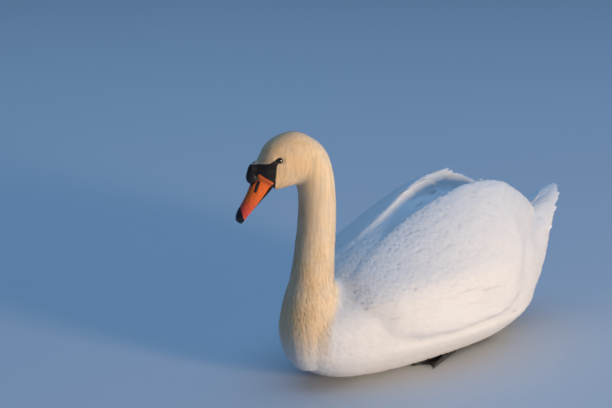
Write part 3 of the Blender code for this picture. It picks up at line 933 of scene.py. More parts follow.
def lay(name, vane, roots, normals, ways, lengths, widths, sink, lift, tones, material, slot,
        curve=None, raised=None, lie=None, path=None, roll=0.0, replaced=()):
    """Makes one joined piece of many feathers that lie over the form.

    Their roots are sunk under it and their tips lifted over it, and raised tips curl up from halfway. With a
    curve, the vanes bend over a round of that radius; without one, each point is laid on the form. A path
    gives the middle lines, normals and ways instead, for feathers that stand clear of the form.
    """
    shares = np.concatenate([[0.0], vane.along, [1.0]])
    width = np.concatenate([[0.0], vane.width, [0.0]])
    middle_line, facing, heading = path or track(roots, normals, ways, lengths, shares, lie)
    sides = np.cross(heading, facing)
    rise = -sink[:, None] * (1 - shares) + lift[:, None] * shares ** 2
    if raised is not None:
        rise = rise + raised[:, None] * np.clip((shares - 0.5) / 0.5, 0, 1) ** 2
    half = widths[:, None] / 2 * width
    across, columns = vane.across, len(vane.across)
    order = list(range(columns)) + list(range(columns - 2, 0, -1))
    under = np.concatenate([np.zeros(columns), np.ones(columns - 2)])
    aside = sides[:, :, None, :] * (half[:, :, None] * across)[..., None]
    base = middle_line[:, :, None, :] + aside
    out = np.broadcast_to(facing[:, :, None, :], base.shape)
    leant = out + aside / curve if curve else out
    if curve is None and path is None:
        places, normals_there = snap(base)
        flat = np.linalg.norm(places - base, axis=3, keepdims=True) > 0.5 * widths[:, None, None, None]
        base = np.where(flat, base, places)
        out = np.where(flat, out, normals_there)
        leant = out
        out = unit(out + facing[:, :, None, :] * 0.5)
    ring = across[order]
    thick = vane.thickness * np.minimum(1.0, widths / FULL_WIDTH)[:, None, None]
    droop = half[:, :, None] ** 2 * ring ** 2 * (0.5 / curve if curve else 0.0)
    droop = droop + vane.camber * half[:, :, None] * ring ** 2 * 0.5
    height = rise[:, :, None] - droop + roll * half[:, :, None] * ring
    height = height - under * thick * (1 - np.abs(ring) ** 3)
    points = base[:, :, order] + out[:, :, order] * height[..., None]
    count, rings = len(middle_line), len(vane.along)

    def woven(values):
        """Values on every ring as one row a feather: its root, its rings and its tip."""
        body = values[:, 1:-1].reshape(count, rings * len(ring), 3)
        return np.concatenate([values[:, 0, :1], body, values[:, -1, :1]], axis=1)

    verts = keep_above(woven(points), FEATHER_FLOOR)
    per = verts.shape[1]
    quads, triangles, quad_sides, triangle_sides = vane.faces()
    offsets = (np.arange(count) * per)[:, None, None]
    quads = (quads[None] + offsets).reshape(-1, 4)
    triangles = (triangles[None] + offsets).reshape(-1, 3)
    upper = [np.repeat(np.tile(sides, count), n) for sides, n in ((quad_sides, 4), (triangle_sides, 3))]
    soft = (unit(woven(leant[:, :, order])).reshape(-1, 3), np.concatenate(upper), vane.softness)
    vane_u = np.concatenate([[0.5], np.tile(0.5 + ring / 2, rings), [0.5]])
    vane_v = np.concatenate([[0.0], np.repeat(vane.along, len(ring)), [1.0]])
    vane_uv = np.tile(np.stack([vane_u, vane_v], axis=1), (count, 1))
    maps = {"OFBake": patches(middle_line[:, 0], vane_uv.reshape(count, per, 2)), "Vane": vane_uv}
    piece = array_mesh(name, verts.reshape(-1, 3), quads, triangles, maps, np.repeat(tones, per), soft)
    piece.data.materials.append(material)
    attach(piece, BODY)
    if replaced:
        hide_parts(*replaced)


def lay_back(name, tips, facing, lengths, widths, sink, lift, tones, lie, **extra):
    """Lays long white feathers by where their tips are: each root is a feather's length up the coat's lie."""
    forward = lambda points, normals: -lie(points, normals)
    shares = np.linspace(0, 1, 5)
    places, facings, ways = track(tips, facing, forward(tips, facing), lengths, shares, forward)
    lay(
        name, LONG, places[:, -1], facings[:, -1], -ways[:, -1], lengths, widths, np.full(len(tips), sink),
        lift, tones, form["white"], "white_plumage", lie=lie, **extra,
    )


def patches(roots, vane_uv):
    """A small patch for each feather, at its root's place on the form unrolled round its spine."""
    reach = by_spine(roots)[1]
    near = np.argmin(np.linalg.norm(roots[:, None, :] - SPINE[None, :, :], axis=2), axis=1)
    arms = roots - SPINE[near]
    aside = np.array([1.0, 0.0, 0.0])
    over = np.cross(SPINE_WAYS[near], aside)
    angle = np.arctan2(arms @ aside, (arms * over).sum(axis=1))
    flat = np.stack([angle, reach], axis=1)
    low, high = flat.min(axis=0), flat.max(axis=0)
    flat = MAP_MARGIN + (1 - 2 * MAP_MARGIN) * (flat - low) / np.maximum(high - low, 1e-9)
    return (flat[:, None, :] + (vane_uv - 0.5) * PATCH).reshape(-1, 2)


SHARP_RIM = math.radians(70.0)


def array_mesh(name, points, quads, triangles, maps, tone, soft):
    """One object from arrays: smooth shading, sharp rims, UV maps and each feather's tone.

    soft holds the form's normals, which corners are on a feather's upper side, and how far those corners'
    normals lean towards the form's, which makes plumage look soft.
    """
    mesh = bpy.data.meshes.new(name)
    mesh.vertices.add(len(points))
    mesh.vertices.foreach_set("co", points.astype(np.float32).ravel())
    loops = np.concatenate([quads.ravel(), triangles.ravel()]).astype(np.int32)
    mesh.loops.add(len(loops))
    mesh.loops.foreach_set("vertex_index", loops)
    totals = np.concatenate([np.full(len(quads), 4), np.full(len(triangles), 3)])
    starts = np.concatenate([[0], np.cumsum(totals)[:-1]]).astype(np.int32)
    mesh.polygons.add(len(totals))
    mesh.polygons.foreach_set("loop_start", starts)
    mesh.polygons.foreach_set("use_smooth", np.ones(len(totals), bool))
    mesh.update(calc_edges=True)
    for label, values in maps.items():
        layer = mesh.uv_layers.new(name=label)
        layer.uv.foreach_set("vector", values[loops].astype(np.float32).ravel())
    attribute = mesh.attributes.new("tone", "FLOAT", "POINT")
    attribute.data.foreach_set("value", tone.astype(np.float32))
    mesh.set_sharp_from_angle(angle=SHARP_RIM)
    facing, upper, softness = soft
    corners = read(mesh.corner_normals, "vector")
    leant = unit(corners * (1 - softness) + facing[loops] * softness)
    mesh.normals_split_custom_set(np.where(upper[:, None], leant, corners))
    made = bpy.data.objects.new(name, mesh)
    bpy.context.scene.collection.objects.link(made)
    return made


def feather_span(points, coat):
    """The length of a feather that grows at each point, from the face to the tail."""
    reach = by_spine(points)[1]
    neck_end = SPINE_REACH[np.argmin(np.abs(SPINE[:, 2] - 0.12) + (SPINE[:, 1] > -0.2))]
    tail = SPINE_REACH[-1]
    marks = (0.0, 0.045, 0.12, 0.24, neck_end, neck_end + 0.14, neck_end + 0.30, tail - 0.22, tail - 0.10)
    values = (
        coat.face * 0.75, coat.face, coat.face * 1.35, coat.neck, coat.neck * 1.7, coat.body * 0.85,
        coat.body, coat.body * 1.1, coat.body * 2.0,
    )
    return np.interp(reach, marks, values)


def sprinkled(rng, count, low, high):
    """Seeded numbers between two limits."""
    return low + (high - low) * rng.random(count)


# How far a feather of the coat wanders from its lie, how far up it its root is from its own place, and how
# much feathers differ in length, in width and sink, and in lift
WANDER, ROOT_SHARE = 0.10, 0.30
LENGTH_SPREAD, WIDTH_SPREAD, LIFT_SPREAD = (0.88, 1.12), (0.9, 1.1), (0.7, 1.3)
# How far feathers grow over the edge of the bare skin
LORE_OVERLAP = 0.0004


def cover(name, nodes, vane, lie, coat, keep, sink, lift, density, material,
          curve=None, span=None, narrow=0.52, slot="white_plumage"):
    """Scatters and lays one region of the coat.

    Sink and lift are a middling feather's, density is how close the feathers are and narrow how wide they
    are, both as shares of their length, and span gives their length at any place.
    """
    rng = np.random.default_rng([coat.seed, sum(map(ord, name))])
    span = span or (lambda points: feather_span(points, coat))
    spots, normals = scatter(rng, nodes, lambda p: span(p) * density, keep)
    count = len(spots)
    lengths = span(spots) * sprinkled(rng, count, *LENGTH_SPREAD)
    ways = lie(spots, normals)
    sides = np.cross(ways, normals)
    ways = unit(ways + sides * (rng.standard_normal(count) * WANDER)[:, None])
    roots, normals = snap(spots - ways * (lengths * ROOT_SHARE)[:, None])
    ways = along_surface(ways, normals)
    scale = lengths / lengths.mean()
    widths = lengths * narrow * sprinkled(rng, count, *WIDTH_SPREAD)
    sinks = sink * scale * sprinkled(rng, count, *WIDTH_SPREAD)
    lifts = lift * scale * sprinkled(rng, count, *LIFT_SPREAD)
    lay(
        name, vane, roots, normals, ways, lengths, widths, sinks, lifts, rng.random(count), material, slot,
        curve=curve,
    )


def feathered(points):
    """True where feathers grow: not on bare skin, the eye, the knob or the bill's base."""
    return (lore_depth(points) < LORE_OVERLAP) & ~sheathed(points) & (knob_depth(points) < 0)


class SWAN_OT_head_coat(bpy.types.Operator):
    """Lays the short feathers of head and neck"""

    bl_idname = "swan.head_coat"
    bl_label = "Head and Neck Plumage"

    def execute(self, context):
        material = plumage_finish("short_plumage", context.scene.swan_colours)
        for name, nodes, keep, sink, lift, curve, density, narrow in (
            ("head_plumage", ("head",), lambda p, n: feathered(p), 0.0014, 0.00012, 0.034, 0.210, 0.38),
            ("neck_plumage_upper", ("neck_upper", "neck_middle"), None, 0.0024, 0.00015, 0.032, 0.175, 0.32),
            ("neck_plumage_lower", ("neck_lower",), None, 0.0030, 0.00020, 0.045, 0.160, 0.34),
        ):
            cover(
                name, nodes, FINE, body_lie, context.scene.swan_coat, keep, sink, lift, density, material,
                curve=curve, narrow=narrow, slot="cream_plumage",
            )
        return {"FINISHED"}


# Where the breast ends, where the long feathers round the tail's root begin, their length, and how far up
# the surface of the back faces
BREAST_END_Y, TAIL_COVERTS_Y, TAIL_COVERT = -0.10, 0.165, 0.070
BACK_FACES_UP = 0.25

# The long feathers that run level over each flank: heights of their rows, how far back each row ends, with a
# step between rows, how far out they are looked for, and their length, width, sink and lift
FLANK_ROWS = (0.066, 0.076, 0.086, 0.096, 0.106, 0.116, 0.126, 0.136)
FLANK_ENDS, FLANK_STEP = (0.116, 0.070, 0.022, -0.030, -0.084), 0.006
FLANK_X, FLANK_STRAY = 0.165, (0.0, 0.007, 0.003)
FLANK_LENGTH, FLANK_WIDTH, FLANK_SINK, FLANK_LIFT = 0.115, 0.023, 0.0030, (0.0022, 0.0034)


def flank_feathers(side, name, seed):
    """The long feathers along one flank, between the waterline and the wing."""
    rng = np.random.default_rng([seed, 40 + side])
    marks = [
        (side * FLANK_X, y - FLANK_STEP * (k % 3), z) for y in FLANK_ENDS for k, z in enumerate(FLANK_ROWS)
    ]
    tips, facing = snap(np.array(marks) + np.array(FLANK_STRAY) * rng.standard_normal((len(marks), 3)))
    count = len(tips)
    lay_back(
        f"flank_feathers_{name}", tips, facing, FLANK_LENGTH * sprinkled(rng, count, 0.88, 1.10),
        FLANK_WIDTH * sprinkled(rng, count, 0.75, 1.15), FLANK_SINK, sprinkled(rng, count, *FLANK_LIFT),
        rng.random(count), flank_lie,
    )


class SWAN_OT_body_coat(bpy.types.Operator):
    """Lays the feathers of breast, belly, flanks and back"""

    bl_idname = "swan.body_coat"
    bl_label = "Body Plumage"

    def execute(self, context):
        coat = context.scene.swan_coat
        material = form["white"] = plumage_finish("body_plumage", context.scene.swan_colours)
        shared = dict(lie=body_lie, coat=coat, material=material, sink=0.0036, lift=0.0004)

        def between(points):
            return (points[:, 1] >= BREAST_END_Y) & (points[:, 1] < TAIL_COVERTS_Y)

        for name, keep in (
            ("breast_plumage_left", lambda p, n: (p[:, 1] < BREAST_END_Y) & (p[:, 0] >= 0)),
            ("breast_plumage_right", lambda p, n: (p[:, 1] < BREAST_END_Y) & (p[:, 0] <= 0)),
            ("belly_plumage", lambda p, n: between(p) & (n[:, 2] < BACK_FACES_UP)),
            ("back_plumage", lambda p, n: between(p) & (n[:, 2] >= BACK_FACES_UP)),
        ):
            cover(name, ("trunk",), SOFT, keep=keep, density=0.27, **shared)
        cover(
            "tail_coverts", ("trunk",), LONG, keep=lambda p, n: p[:, 1] >= TAIL_COVERTS_Y, density=0.20,
            span=lambda p: np.full(len(p), TAIL_COVERT), narrow=0.36, **shared,
        )
        for side, name in SIDES:
            flank_feathers(side, name, coat.seed)
        return {"FINISHED"}


# The fewest points that a ring of a packed wing has; fewer are the middle of its end
RING_POINTS = 8


def rim_of(node, lower):
    """A wing's lower edge, or its ridge, from its rear tip forwards: one point of each of its rings."""
    points = corners_of(node)
    line = []
    for y in np.unique(points[:, 1].round(4))[::-1]:
        ring = points[np.abs(points[:, 1] - y) < 1e-4]
        if len(ring) < RING_POINTS:
            continue
        if lower:
            ring = ring[np.abs(ring[:, 0]) >= 0.9 * np.abs(ring[:, 0]).max()]
            line.append(ring[np.argmin(ring[:, 2])])
        else:
            line.append(ring[np.argmax(ring[:, 2])])
    return np.array(line)


def spaced(line, step, start=0.0, reach=None):
    """Points every step along a line, and the way it runs at each."""
    lengths = reach_along(line)
    marks = np.arange(start, min(lengths[-1], reach or lengths[-1]), step)

    def at(places):
        return np.stack([np.interp(places, lengths, line[:, k]) for k in range(3)], axis=1)

    return at(marks), unit(at(marks + 0.004) - at(marks - 0.004))


# Rows of long wing feathers: how far their tips are above the wing's lower edge, length, width. Then how far
# forward the rows reach, how far from the wing's edge the coverts begin, how deep the feathers' roots are
# sunk, and how much each row is lifted. Last, how close feathers are as a share of their width, where a row
# starts and how that moves from row to row, how much shorter each row is, and how far each vane is rolled.
WING_ROWS = (
    (0.002, 1.25, 0.050), (0.020, 1.15, 0.050), (0.040, 1.00, 0.048), (0.062, 0.80, 0.044),
    (0.086, 0.58, 0.040), (0.110, 0.44, 0.036),
)
ROW_REACH, ROW_ZONE, ROW_SINK, ROW_LIFT = 0.34, 0.118, 0.0060, (0.0006, 0.0004, 0.0005)
ROW_DENSITY, ROW_START, ROW_SHORTER, ROW_ROLL = 0.40, (0.010, 0.004), 0.02, 0.05


def wing_rows(side, name, coat):
    """The long feathers in rows along a wing's rear and lower edge, each row over the one behind it."""
    rng = np.random.default_rng([coat.seed, 50 + side])
    edge = rim_of(f"wing_{name}", lower=True)
    tips, lengths, widths, ranks = [], [], [], []
    for rank, (up, share, width) in enumerate(WING_ROWS):
        start = ROW_START[0] + ROW_START[1] * rank
        marks, runs = spaced(edge, width * ROW_DENSITY, start, ROW_REACH - ROW_SHORTER * rank)
        marks, facing = snap(marks + np.array([side * 0.004, 0, 0.004]))
        rising = np.cross(runs, facing)
        rising *= np.sign(rising[:, 2:3])
        ups = np.full(len(marks), up)
        places, _, _ = track(marks, facing, along_surface(rising, facing), ups, (0.0, 0.5, 1.0))
        tips.append(places[:, -1])
        lengths.append(np.full(len(marks), coat.secondary * share))
        widths.append(np.full(len(marks), width))
        ranks.append(np.full(len(marks), rank))
    tips, lengths = np.concatenate(tips), np.concatenate(lengths)
    widths, ranks = np.concatenate(widths), np.concatenate(ranks)
    lengths *= sprinkled(rng, len(tips), 0.96, 1.04)
    tips, facing = snap(tips)
    lift = ROW_LIFT[0] + ROW_LIFT[1] * ranks + sprinkled(rng, len(tips), 0, ROW_LIFT[2])
    lay_back(
        f"wing_feathers_{name}", tips, facing, lengths, widths, ROW_SINK, lift, rng.random(len(tips)),
        wing_lie, roll=ROW_ROLL * side,
    )


# The broad feathers over each wing's ridge, in groups: how far back each ends and how far its tips curl up,
# how far aside of the ridge its feathers are, inner ones first, and their length, width, sink and lift. Then
# how far forward a feather ends for its step aside, how far its end strays, and how much curls differ.
RIDGE_GROUPS = {
    1: ((0.225, 0.002), (0.180, 0.002), (0.128, 0.002), (0.070, 0.002)),
    -1: ((0.215, 0.003), (0.142, 0.009), (0.070, 0.012), (0.010, 0.003)),
}
RIDGE_SPREAD = {1: (-0.020, -0.011, 0.005, 0.011, 0.018), -1: (-0.020, -0.011, -0.003, 0.006, 0.016)}
RIDGE_CURLS = ((-0.006, 0.002), (0.0, 1.0))
RIDGE_LENGTH, RIDGE_WIDTH, RIDGE_SINK, RIDGE_LIFT = 0.105, 0.024, 0.0040, (0.0009, 0.0004)
RIDGE_SLANT, RIDGE_STRAY, CURL_SPREAD = 0.6, (-0.006, 0.004), (0.45, 1.0)


def ridge_curls(side, name, seed):
    """The broad feathers along a wing's ridge, whose tips curl up and out, front groups over rear ones."""
    rng = np.random.default_rng([seed, 70 + side])
    ridge = rim_of(f"wing_{name}", lower=False)[::-1]
    tips, curls, ranks = [], [], []
    for rank, (y, curl) in enumerate(RIDGE_GROUPS[side]):
        for aside in RIDGE_SPREAD[side]:
            end = y - abs(aside) * RIDGE_SLANT + rng.uniform(*RIDGE_STRAY)
            crest = np.array([np.interp(end, ridge[:, 1], ridge[:, k]) for k in range(3)])
            tips.append(crest + np.array([aside * side, 0.0, 0.004]))
            curls.append(curl * rng.uniform(*CURL_SPREAD) * np.interp(aside, *RIDGE_CURLS))
            ranks.append(rank)
    tips, facing = snap(np.array(tips))
    count = len(tips)
    lay_back(
        f"ridge_feathers_{name}", tips, facing, RIDGE_LENGTH * sprinkled(rng, count, 0.9, 1.1),
        RIDGE_WIDTH * sprinkled(rng, count, 0.85, 1.1), RIDGE_SINK,
        RIDGE_LIFT[0] + RIDGE_LIFT[1] * np.array(ranks), rng.random(count), wing_lie, raised=np.array(curls),
    )


# How the coverts grow from the wing's front to its rear, as shares of their length
COVERT_SPAN = ((-0.26, 0.0, 0.25), (0.60, 1.0, 1.5))


class SWAN_OT_wing_coat(bpy.types.Operator):
    """Lays the wing coverts and the long feathers of both wings"""

    bl_idname = "swan.wing_coat"
    bl_label = "Wing Plumage"

    def execute(self, context):
        coat = context.scene.swan_coat
        for side, name in SIDES:
            edge = spaced(rim_of(f"wing_{name}", lower=True), 0.006, 0.0, ROW_REACH - 0.10)[0]

            def clear_of_rows(points, normals):
                gaps = np.linalg.norm(points[:, None] - edge[None], axis=2).min(axis=1)
                return gaps > ROW_ZONE

            cover(
                f"wing_coverts_{name}", (f"wing_{name}",), SOFT, wing_lie, coat, clear_of_rows, sink=0.0045,
                lift=0.0004, density=0.26, material=form["white"],
                span=lambda p: coat.covert * np.interp(p[:, 1], *COVERT_SPAN),
            )
            wing_rows(side, name, coat)
            ridge_curls(side, name, coat.seed)
        return {"FINISHED"}


# The tail: the point that its feathers spread from and how far, how far from it they show, and how long they
# are from the right side to the left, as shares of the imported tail's length. Then how much the fan is roofed,
# how wide each feather is, and how far one may lie over the next.
TAIL_HINGE = (0.0, 0.130)
TAIL_SPREAD = math.radians(18.0)
TAIL_FEATHERS = 24
TAIL_START = 0.085
TAIL_SHARES = (-1.0, -0.4, -0.05, 0.05, 0.13, 0.28, 0.45, 0.70, 1.0)
TAIL_LENGTHS = (0.72, 0.83, 0.86, 0.92, 0.99, 0.955, 0.88, 0.79, 0.70)
TAIL_ROOF, TAIL_WIDTH, TAIL_OVERLAP = 9.0, 0.032, 0.003


def tail_form():
    """The height of the tail's middle surface at any place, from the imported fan, as a function of x and y."""
    points = corners_of("tail")

    def terms(x, y):
        return np.stack([np.ones_like(x), x, y, x * x, x * y], axis=-1)

    weights = np.linalg.lstsq(terms(points[:, 0], points[:, 1]), points[:, 2], rcond=None)[0]
    return lambda x, y: terms(x, y) @ weights


class SWAN_OT_tail_coat(bpy.types.Operator):
    """Lays the fan of tail feathers"""

    bl_idname = "swan.tail_coat"
    bl_label = "Tail Plumage"

    def execute(self, context):
        rng = np.random.default_rng([context.scene.swan_coat.seed, 90])
        flat = tail_form()
        height = lambda x, y: flat(x, y) - TAIL_ROOF * x * x
        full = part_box("tail")[1].y - TAIL_HINGE[1]
        count = TAIL_FEATHERS
        share = np.linspace(-1, 1, count)
        lengths = full * np.interp(share, TAIL_SHARES, TAIL_LENGTHS) * sprinkled(rng, count, 0.965, 1.01)
        steps = np.concatenate([[0.0], POINTED.along, [1.0]])
        out = TAIL_START + (lengths[:, None] - TAIL_START) * steps
        angle = (share * TAIL_SPREAD)[:, None]
        x, y = TAIL_HINGE[0] + np.sin(angle) * out, TAIL_HINGE[1] + np.cos(angle) * out
        path = np.stack([x, y, height(x, y)], axis=2)
        heading = unit(np.gradient(path, axis=1))
        slope = (height(x + 0.001, y) - height(x - 0.001, y)) / 0.002
        facing = unit(np.cross(np.stack([np.ones_like(x), np.zeros_like(x), slope], axis=2), heading))
        lay(
            "tail_feathers", POINTED, path[:, 0], facing[:, 0], heading[:, 0], lengths,
            np.full(count, TAIL_WIDTH), np.full(count, 0.0), sprinkled(rng, count, 0.0, TAIL_OVERLAP),
            rng.random(count), form["white"], "white_plumage", path=(path, facing, heading),
            replaced=("tail",),
        )
        return {"FINISHED"}


# ---------------------------------------------------------------------------------------------------------
# Bill, eyes and feet


# The nostril, a slot on each side of the bill: its middle in the bill's frame, its slant, its length, height
# and depth, and half the length and height of its black patch
NOSTRIL, NOSTRIL_ASIDE = (0.0137, 0.0198), 0.0150
NOSTRIL_SLANT = math.radians(-13.0)
NOSTRIL_SIZE = (0.0130, 0.0030, 0.0050)
NOSTRIL_PATCH = (0.0108, 0.0025)
# The black border round the knob
KNOB_BORDER = 0.0016
# The nail at the tip, bounded by a line across the bill, how far its edge is from sharp and how far it is
# raised. Then the black cutting edge, and where orange turns to red.
NAIL_LEAN, NAIL_START, NAIL_RISE = 0.9, 0.0790, 0.0005
EDGE_OUT, EDGE_HEIGHT = (0.0, 0.034), (0.0013, -0.0010)
RED_OUT = (0.028, 0.066)


def bill_finish(name, colours):
    """The bill: orange turning red near the tip, black at the nail, nostrils, base and cutting edge."""
    finish = Finish(name, roughness=0.40, specular_ior_level=0.45)
    place = finish.place()
    out = finish.along(place, OUTWARD, GAPE)
    above = finish.along(place, ABOVE, GAPE)
    colour = finish.blend(finish.ramp(out, *RED_OUT), colours.orange, colours.red)
    flecks = finish.streaks(place, (300.0, 300.0, 90.0))
    colour = finish.shade(colour, finish.ramp(flecks, 0.3, 0.7, 0.80, 1.08))
    nail = finish.ramp(out + above * NAIL_LEAN, NAIL_START - 0.0007, NAIL_START + 0.0007)
    edge = finish.ramp(above - finish.ramp(out, *EDGE_OUT, *EDGE_HEIGHT), 0.0004, -0.0004)
    level, slant = math.cos(NOSTRIL_SLANT), math.sin(NOSTRIL_SLANT)
    along = (out - NOSTRIL[0]) * level + (above - NOSTRIL[1]) * slant
    over = (above - NOSTRIL[1]) * level - (out - NOSTRIL[0]) * slant
    rim = ((along / NOSTRIL_PATCH[0]) ** 2.0) ** 1.5 + ((over / NOSTRIL_PATCH[1]) ** 2.0) ** 1.5
    nostril = finish.ramp(rim, 1.3, 0.8)
    knob = 0.0
    for way, radius in zip(KNOB_WAYS, KNOB_RADII):
        knob = (finish.along(place, way, middle("knob")) / (radius + KNOB_BORDER)) ** 2.0 + knob
    top = finish.ramp(above, SHEATH_HIGH - 0.0004, SHEATH_HIGH + 0.0004)
    root = finish.ramp(knob, 1.10, 0.98).most(top)
    black = nail.most(edge).most(nostril).most(root)
    finish.feed("Base Color", finish.blend(black, colour, colours.black))
    finish.relief(finish.streaks(place, (900.0, 900.0, 300.0)), 0.0003, 0.4)
    return finish.material


def black_finish(name, colours, roughness=0.45):
    """Black horn or bare skin, finely wrinkled."""
    finish = Finish(name, roughness=roughness, specular_ior_level=0.4)
    place = finish.place()
    grain = finish.noise(place, 300.0)
    finish.feed("Base Color", finish.shade(colours.black, finish.ramp(grain, 0.3, 0.7, 0.6, 1.5)))
    finish.relief(finish.cracks(place, 700.0).least(0.4) + grain * 0.5, 0.0004, 0.5)
    return finish.material


# How far the horn stands out from the face that it covers, how far back and how low it is cut, how far its
# creases are closed, and where it is eased in
HORN_DEPTH, HORN_START, HORN_LOW, HORN_FILL = 0.0006, 0.0010, 0.0014, 0.0020
EASE_OUT, EASE_ROUNDS = (0.008, 0.018), 40
HORN_GRAIN, HORN_ROUNDS, KNOB_ROUNDS = 0.0006, 6, 16
# How far the lower half is drawn in and up under the upper half, and where
SLIM_OUT, SLIM_SHARE, SLIM_UP = (0.004, 0.040), 0.22, 0.0016


def nostril_cutter(side):
    """A long lens that cuts one nostril."""
    deselect()
    centre = from_bill(*NOSTRIL, side * NOSTRIL_ASIDE)
    bpy.ops.mesh.primitive_uv_sphere_add(segments=24, ring_count=12, radius=0.5, location=centre)
    lens = bpy.context.object
    along = OUTWARD * math.cos(NOSTRIL_SLANT) + ABOVE * math.sin(NOSTRIL_SLANT)
    axes = [along * NOSTRIL_SIZE[0], LEFTWARD.cross(along) * NOSTRIL_SIZE[1], LEFTWARD * NOSTRIL_SIZE[2]]
    lens.matrix_world = Matrix.Translation(centre) @ Matrix(axes).transposed().to_4x4()
    return lens


def face_slice():
    """The front of the face, which the bill's horn covers."""
    face = node_copy("head")
    swell(face, HORN_DEPTH)
    pick(face)
    bpy.ops.object.mode_set(mode="EDIT")
    rear, low = from_bill(SHEATH_EDGE - HORN_START, 0, 0), from_bill(0, SHEATH_LOW - HORN_LOW, 0)
    for place, way in ((rear, OUTWARD), (low, ABOVE)):
        bpy.ops.mesh.select_all(action="SELECT")
        bpy.ops.mesh.bisect(plane_co=place, plane_no=way, use_fill=True, clear_inner=True)
    bpy.ops.object.mode_set(mode="OBJECT")
    return face


def shape_knob(horn):
    """Makes the knob an egg, fuller towards the bill."""
    steps = (coordinates(horn) - np.array(middle("knob"))) @ KNOB_WAYS.T
    steps[:, 1:] *= KNOB_GIRTH * (1 + KNOB_TAPER * steps[:, :1] / KNOB_RADII[0])
    place_points(horn, np.array(middle("knob")) + steps @ KNOB_WAYS)


def ease_base(horn):
    """Blends the bill's horn smoothly into the part that covers the face."""
    points = coordinates(horn)
    smooth(horn, EASE_ROUNDS)
    eased = (1 - step_between(in_bill(points)[:, 0], *EASE_OUT))[:, None]
    place_points(horn, points + (coordinates(horn) - points) * eased)


def slim_lower(horn):
    """Draws the lower half of the bill in under the upper half, more towards its tip."""
    spots = in_bill(coordinates(horn))
    share = step_between(spots[:, 0], *SLIM_OUT)
    spots[:, 2] *= 1 - SLIM_SHARE * share
    spots[:, 1] += SLIM_UP * share
    place_points(horn, np.array(GAPE) + spots @ BILL_WAYS)


def raise_nail(horn):
    """Raises the nail a little above the rest of the bill."""
    points, normals = coordinates(horn), normals_of(horn)
    spots = in_bill(points)
    nail = step_between(spots[:, 0] + spots[:, 1] * NAIL_LEAN, NAIL_START - 0.0010, NAIL_START + 0.0012)
    place_points(horn, points + normals * (NAIL_RISE * nail)[:, None])


def cut_nostrils(horn):
    """Sinks a slot into each side of the bill."""
    for side in (1, -1):
        lens = nostril_cutter(side)
        modify(horn, "BOOLEAN", object=lens, operation="DIFFERENCE", solver="EXACT")
        bpy.data.objects.remove(lens)


class SWAN_OT_bill(bpy.types.Operator):
    """Models the two halves of the bill and its knob"""

    bl_idname = "swan.bill"
    bl_label = "Bill"

    def execute(self, context):
        colours = context.scene.swan_colours
        orange = bill_finish("bill_horn", colours)
        black = black_finish("black_horn", colours)
        for node, material, slot, rounds, shaping in (
            ("bill_upper", orange, "orange_bill", HORN_ROUNDS, (ease_base, raise_nail, cut_nostrils)),
            ("bill_lower", black, "black_skin", HORN_ROUNDS, (slim_lower,)),
            ("knob", black, "black_skin", KNOB_ROUNDS, (shape_knob,)),
        ):
            horn = node_copy(node)
            fills = ()
            if node == "bill_upper":
                pick(horn, face_slice())
                bpy.ops.object.join()
                fills = (HORN_FILL, -HORN_FILL)
            remesh(horn, HORN_GRAIN)
            for fill in fills:
                swell(horn, fill)
                remesh(horn, HORN_GRAIN)
            smooth(horn, rounds)
            for shape in shaping:
                shape(horn)
            pick(horn)
            bpy.ops.object.shade_smooth()
            settle(horn, f"{node}_horn", material, (node,))
        return {"FINISHED"}


# Each eye looks aside and a little ahead and up, and is sunk into the head; its lids are a ring that is lower
# than it is long
EYE_AHEAD, EYE_UP, EYE_SINK = 0.22, 0.10, 0.0016
EYE_BROWN = (0.020, 0.012, 0.008)
LID_RADIUS, LID_THICKNESS, LID_HEIGHT = 0.0038, 0.0008, 0.92


class SWAN_OT_eyes(bpy.types.Operator):
    """Models the eyes and their lids"""

    bl_idname = "swan.eyes"
    bl_label = "Eyes"

    def execute(self, context):
        colours = context.scene.swan_colours
        glass = Finish("dark_eye", roughness=0.05, coat_weight=1.0, coat_roughness=0.02)
        place = glass.place()
        rays = glass.noise(place, 900.0, 2.0)
        glass.feed("Base Color", glass.shade(EYE_BROWN, glass.ramp(rays, 0.3, 0.7, 0.5, 1.4)))
        lid_skin = black_finish("lid_skin", colours, 0.5)
        for side, name in SIDES:
            look = (LEFTWARD * side + AHEAD * EYE_AHEAD + UP * EYE_UP).normalized()
            centre = middle(f"eye_{name}") - look * EYE_SINK
            turn = look.to_track_quat("Z", "Y").to_euler()
            deselect()
            bpy.ops.mesh.primitive_uv_sphere_add(
                segments=48, ring_count=32, radius=EYE_RADIUS, location=centre, rotation=turn
            )
            ball = bpy.context.object
            bpy.ops.object.shade_smooth()
            settle(ball, f"eyeball_{name}", glass.material, (f"eye_{name}",))

            seat = centre + look * math.sqrt(EYE_RADIUS ** 2 - LID_RADIUS ** 2)
            deselect()
            bpy.ops.mesh.primitive_torus_add(
                major_segments=48, minor_segments=12, major_radius=LID_RADIUS, minor_radius=LID_THICKNESS,
                location=seat, rotation=turn,
            )
            lids = bpy.context.object
            lids.scale = (1.0, LID_HEIGHT, 1.0)
            bpy.ops.object.shade_smooth()
            settle(lids, f"eyelids_{name}", lid_skin)
        return {"FINISHED"}


# The ways in which a foot's three toe tips stand out furthest, from straight ahead towards the bird's side.
# Claws point a little down, and most of each is past its toe.
TOE_WAYS = (-60.0, 0.0, 45.0)
FOOT_GRAIN = 0.0011
CLAW_LENGTH, CLAW_RADIUS, CLAW_TIP = 0.011, 0.0024, 0.25
CLAW_DOWN, CLAW_OUT, CLAW_CLEAR = 0.16, 0.28, 0.0006


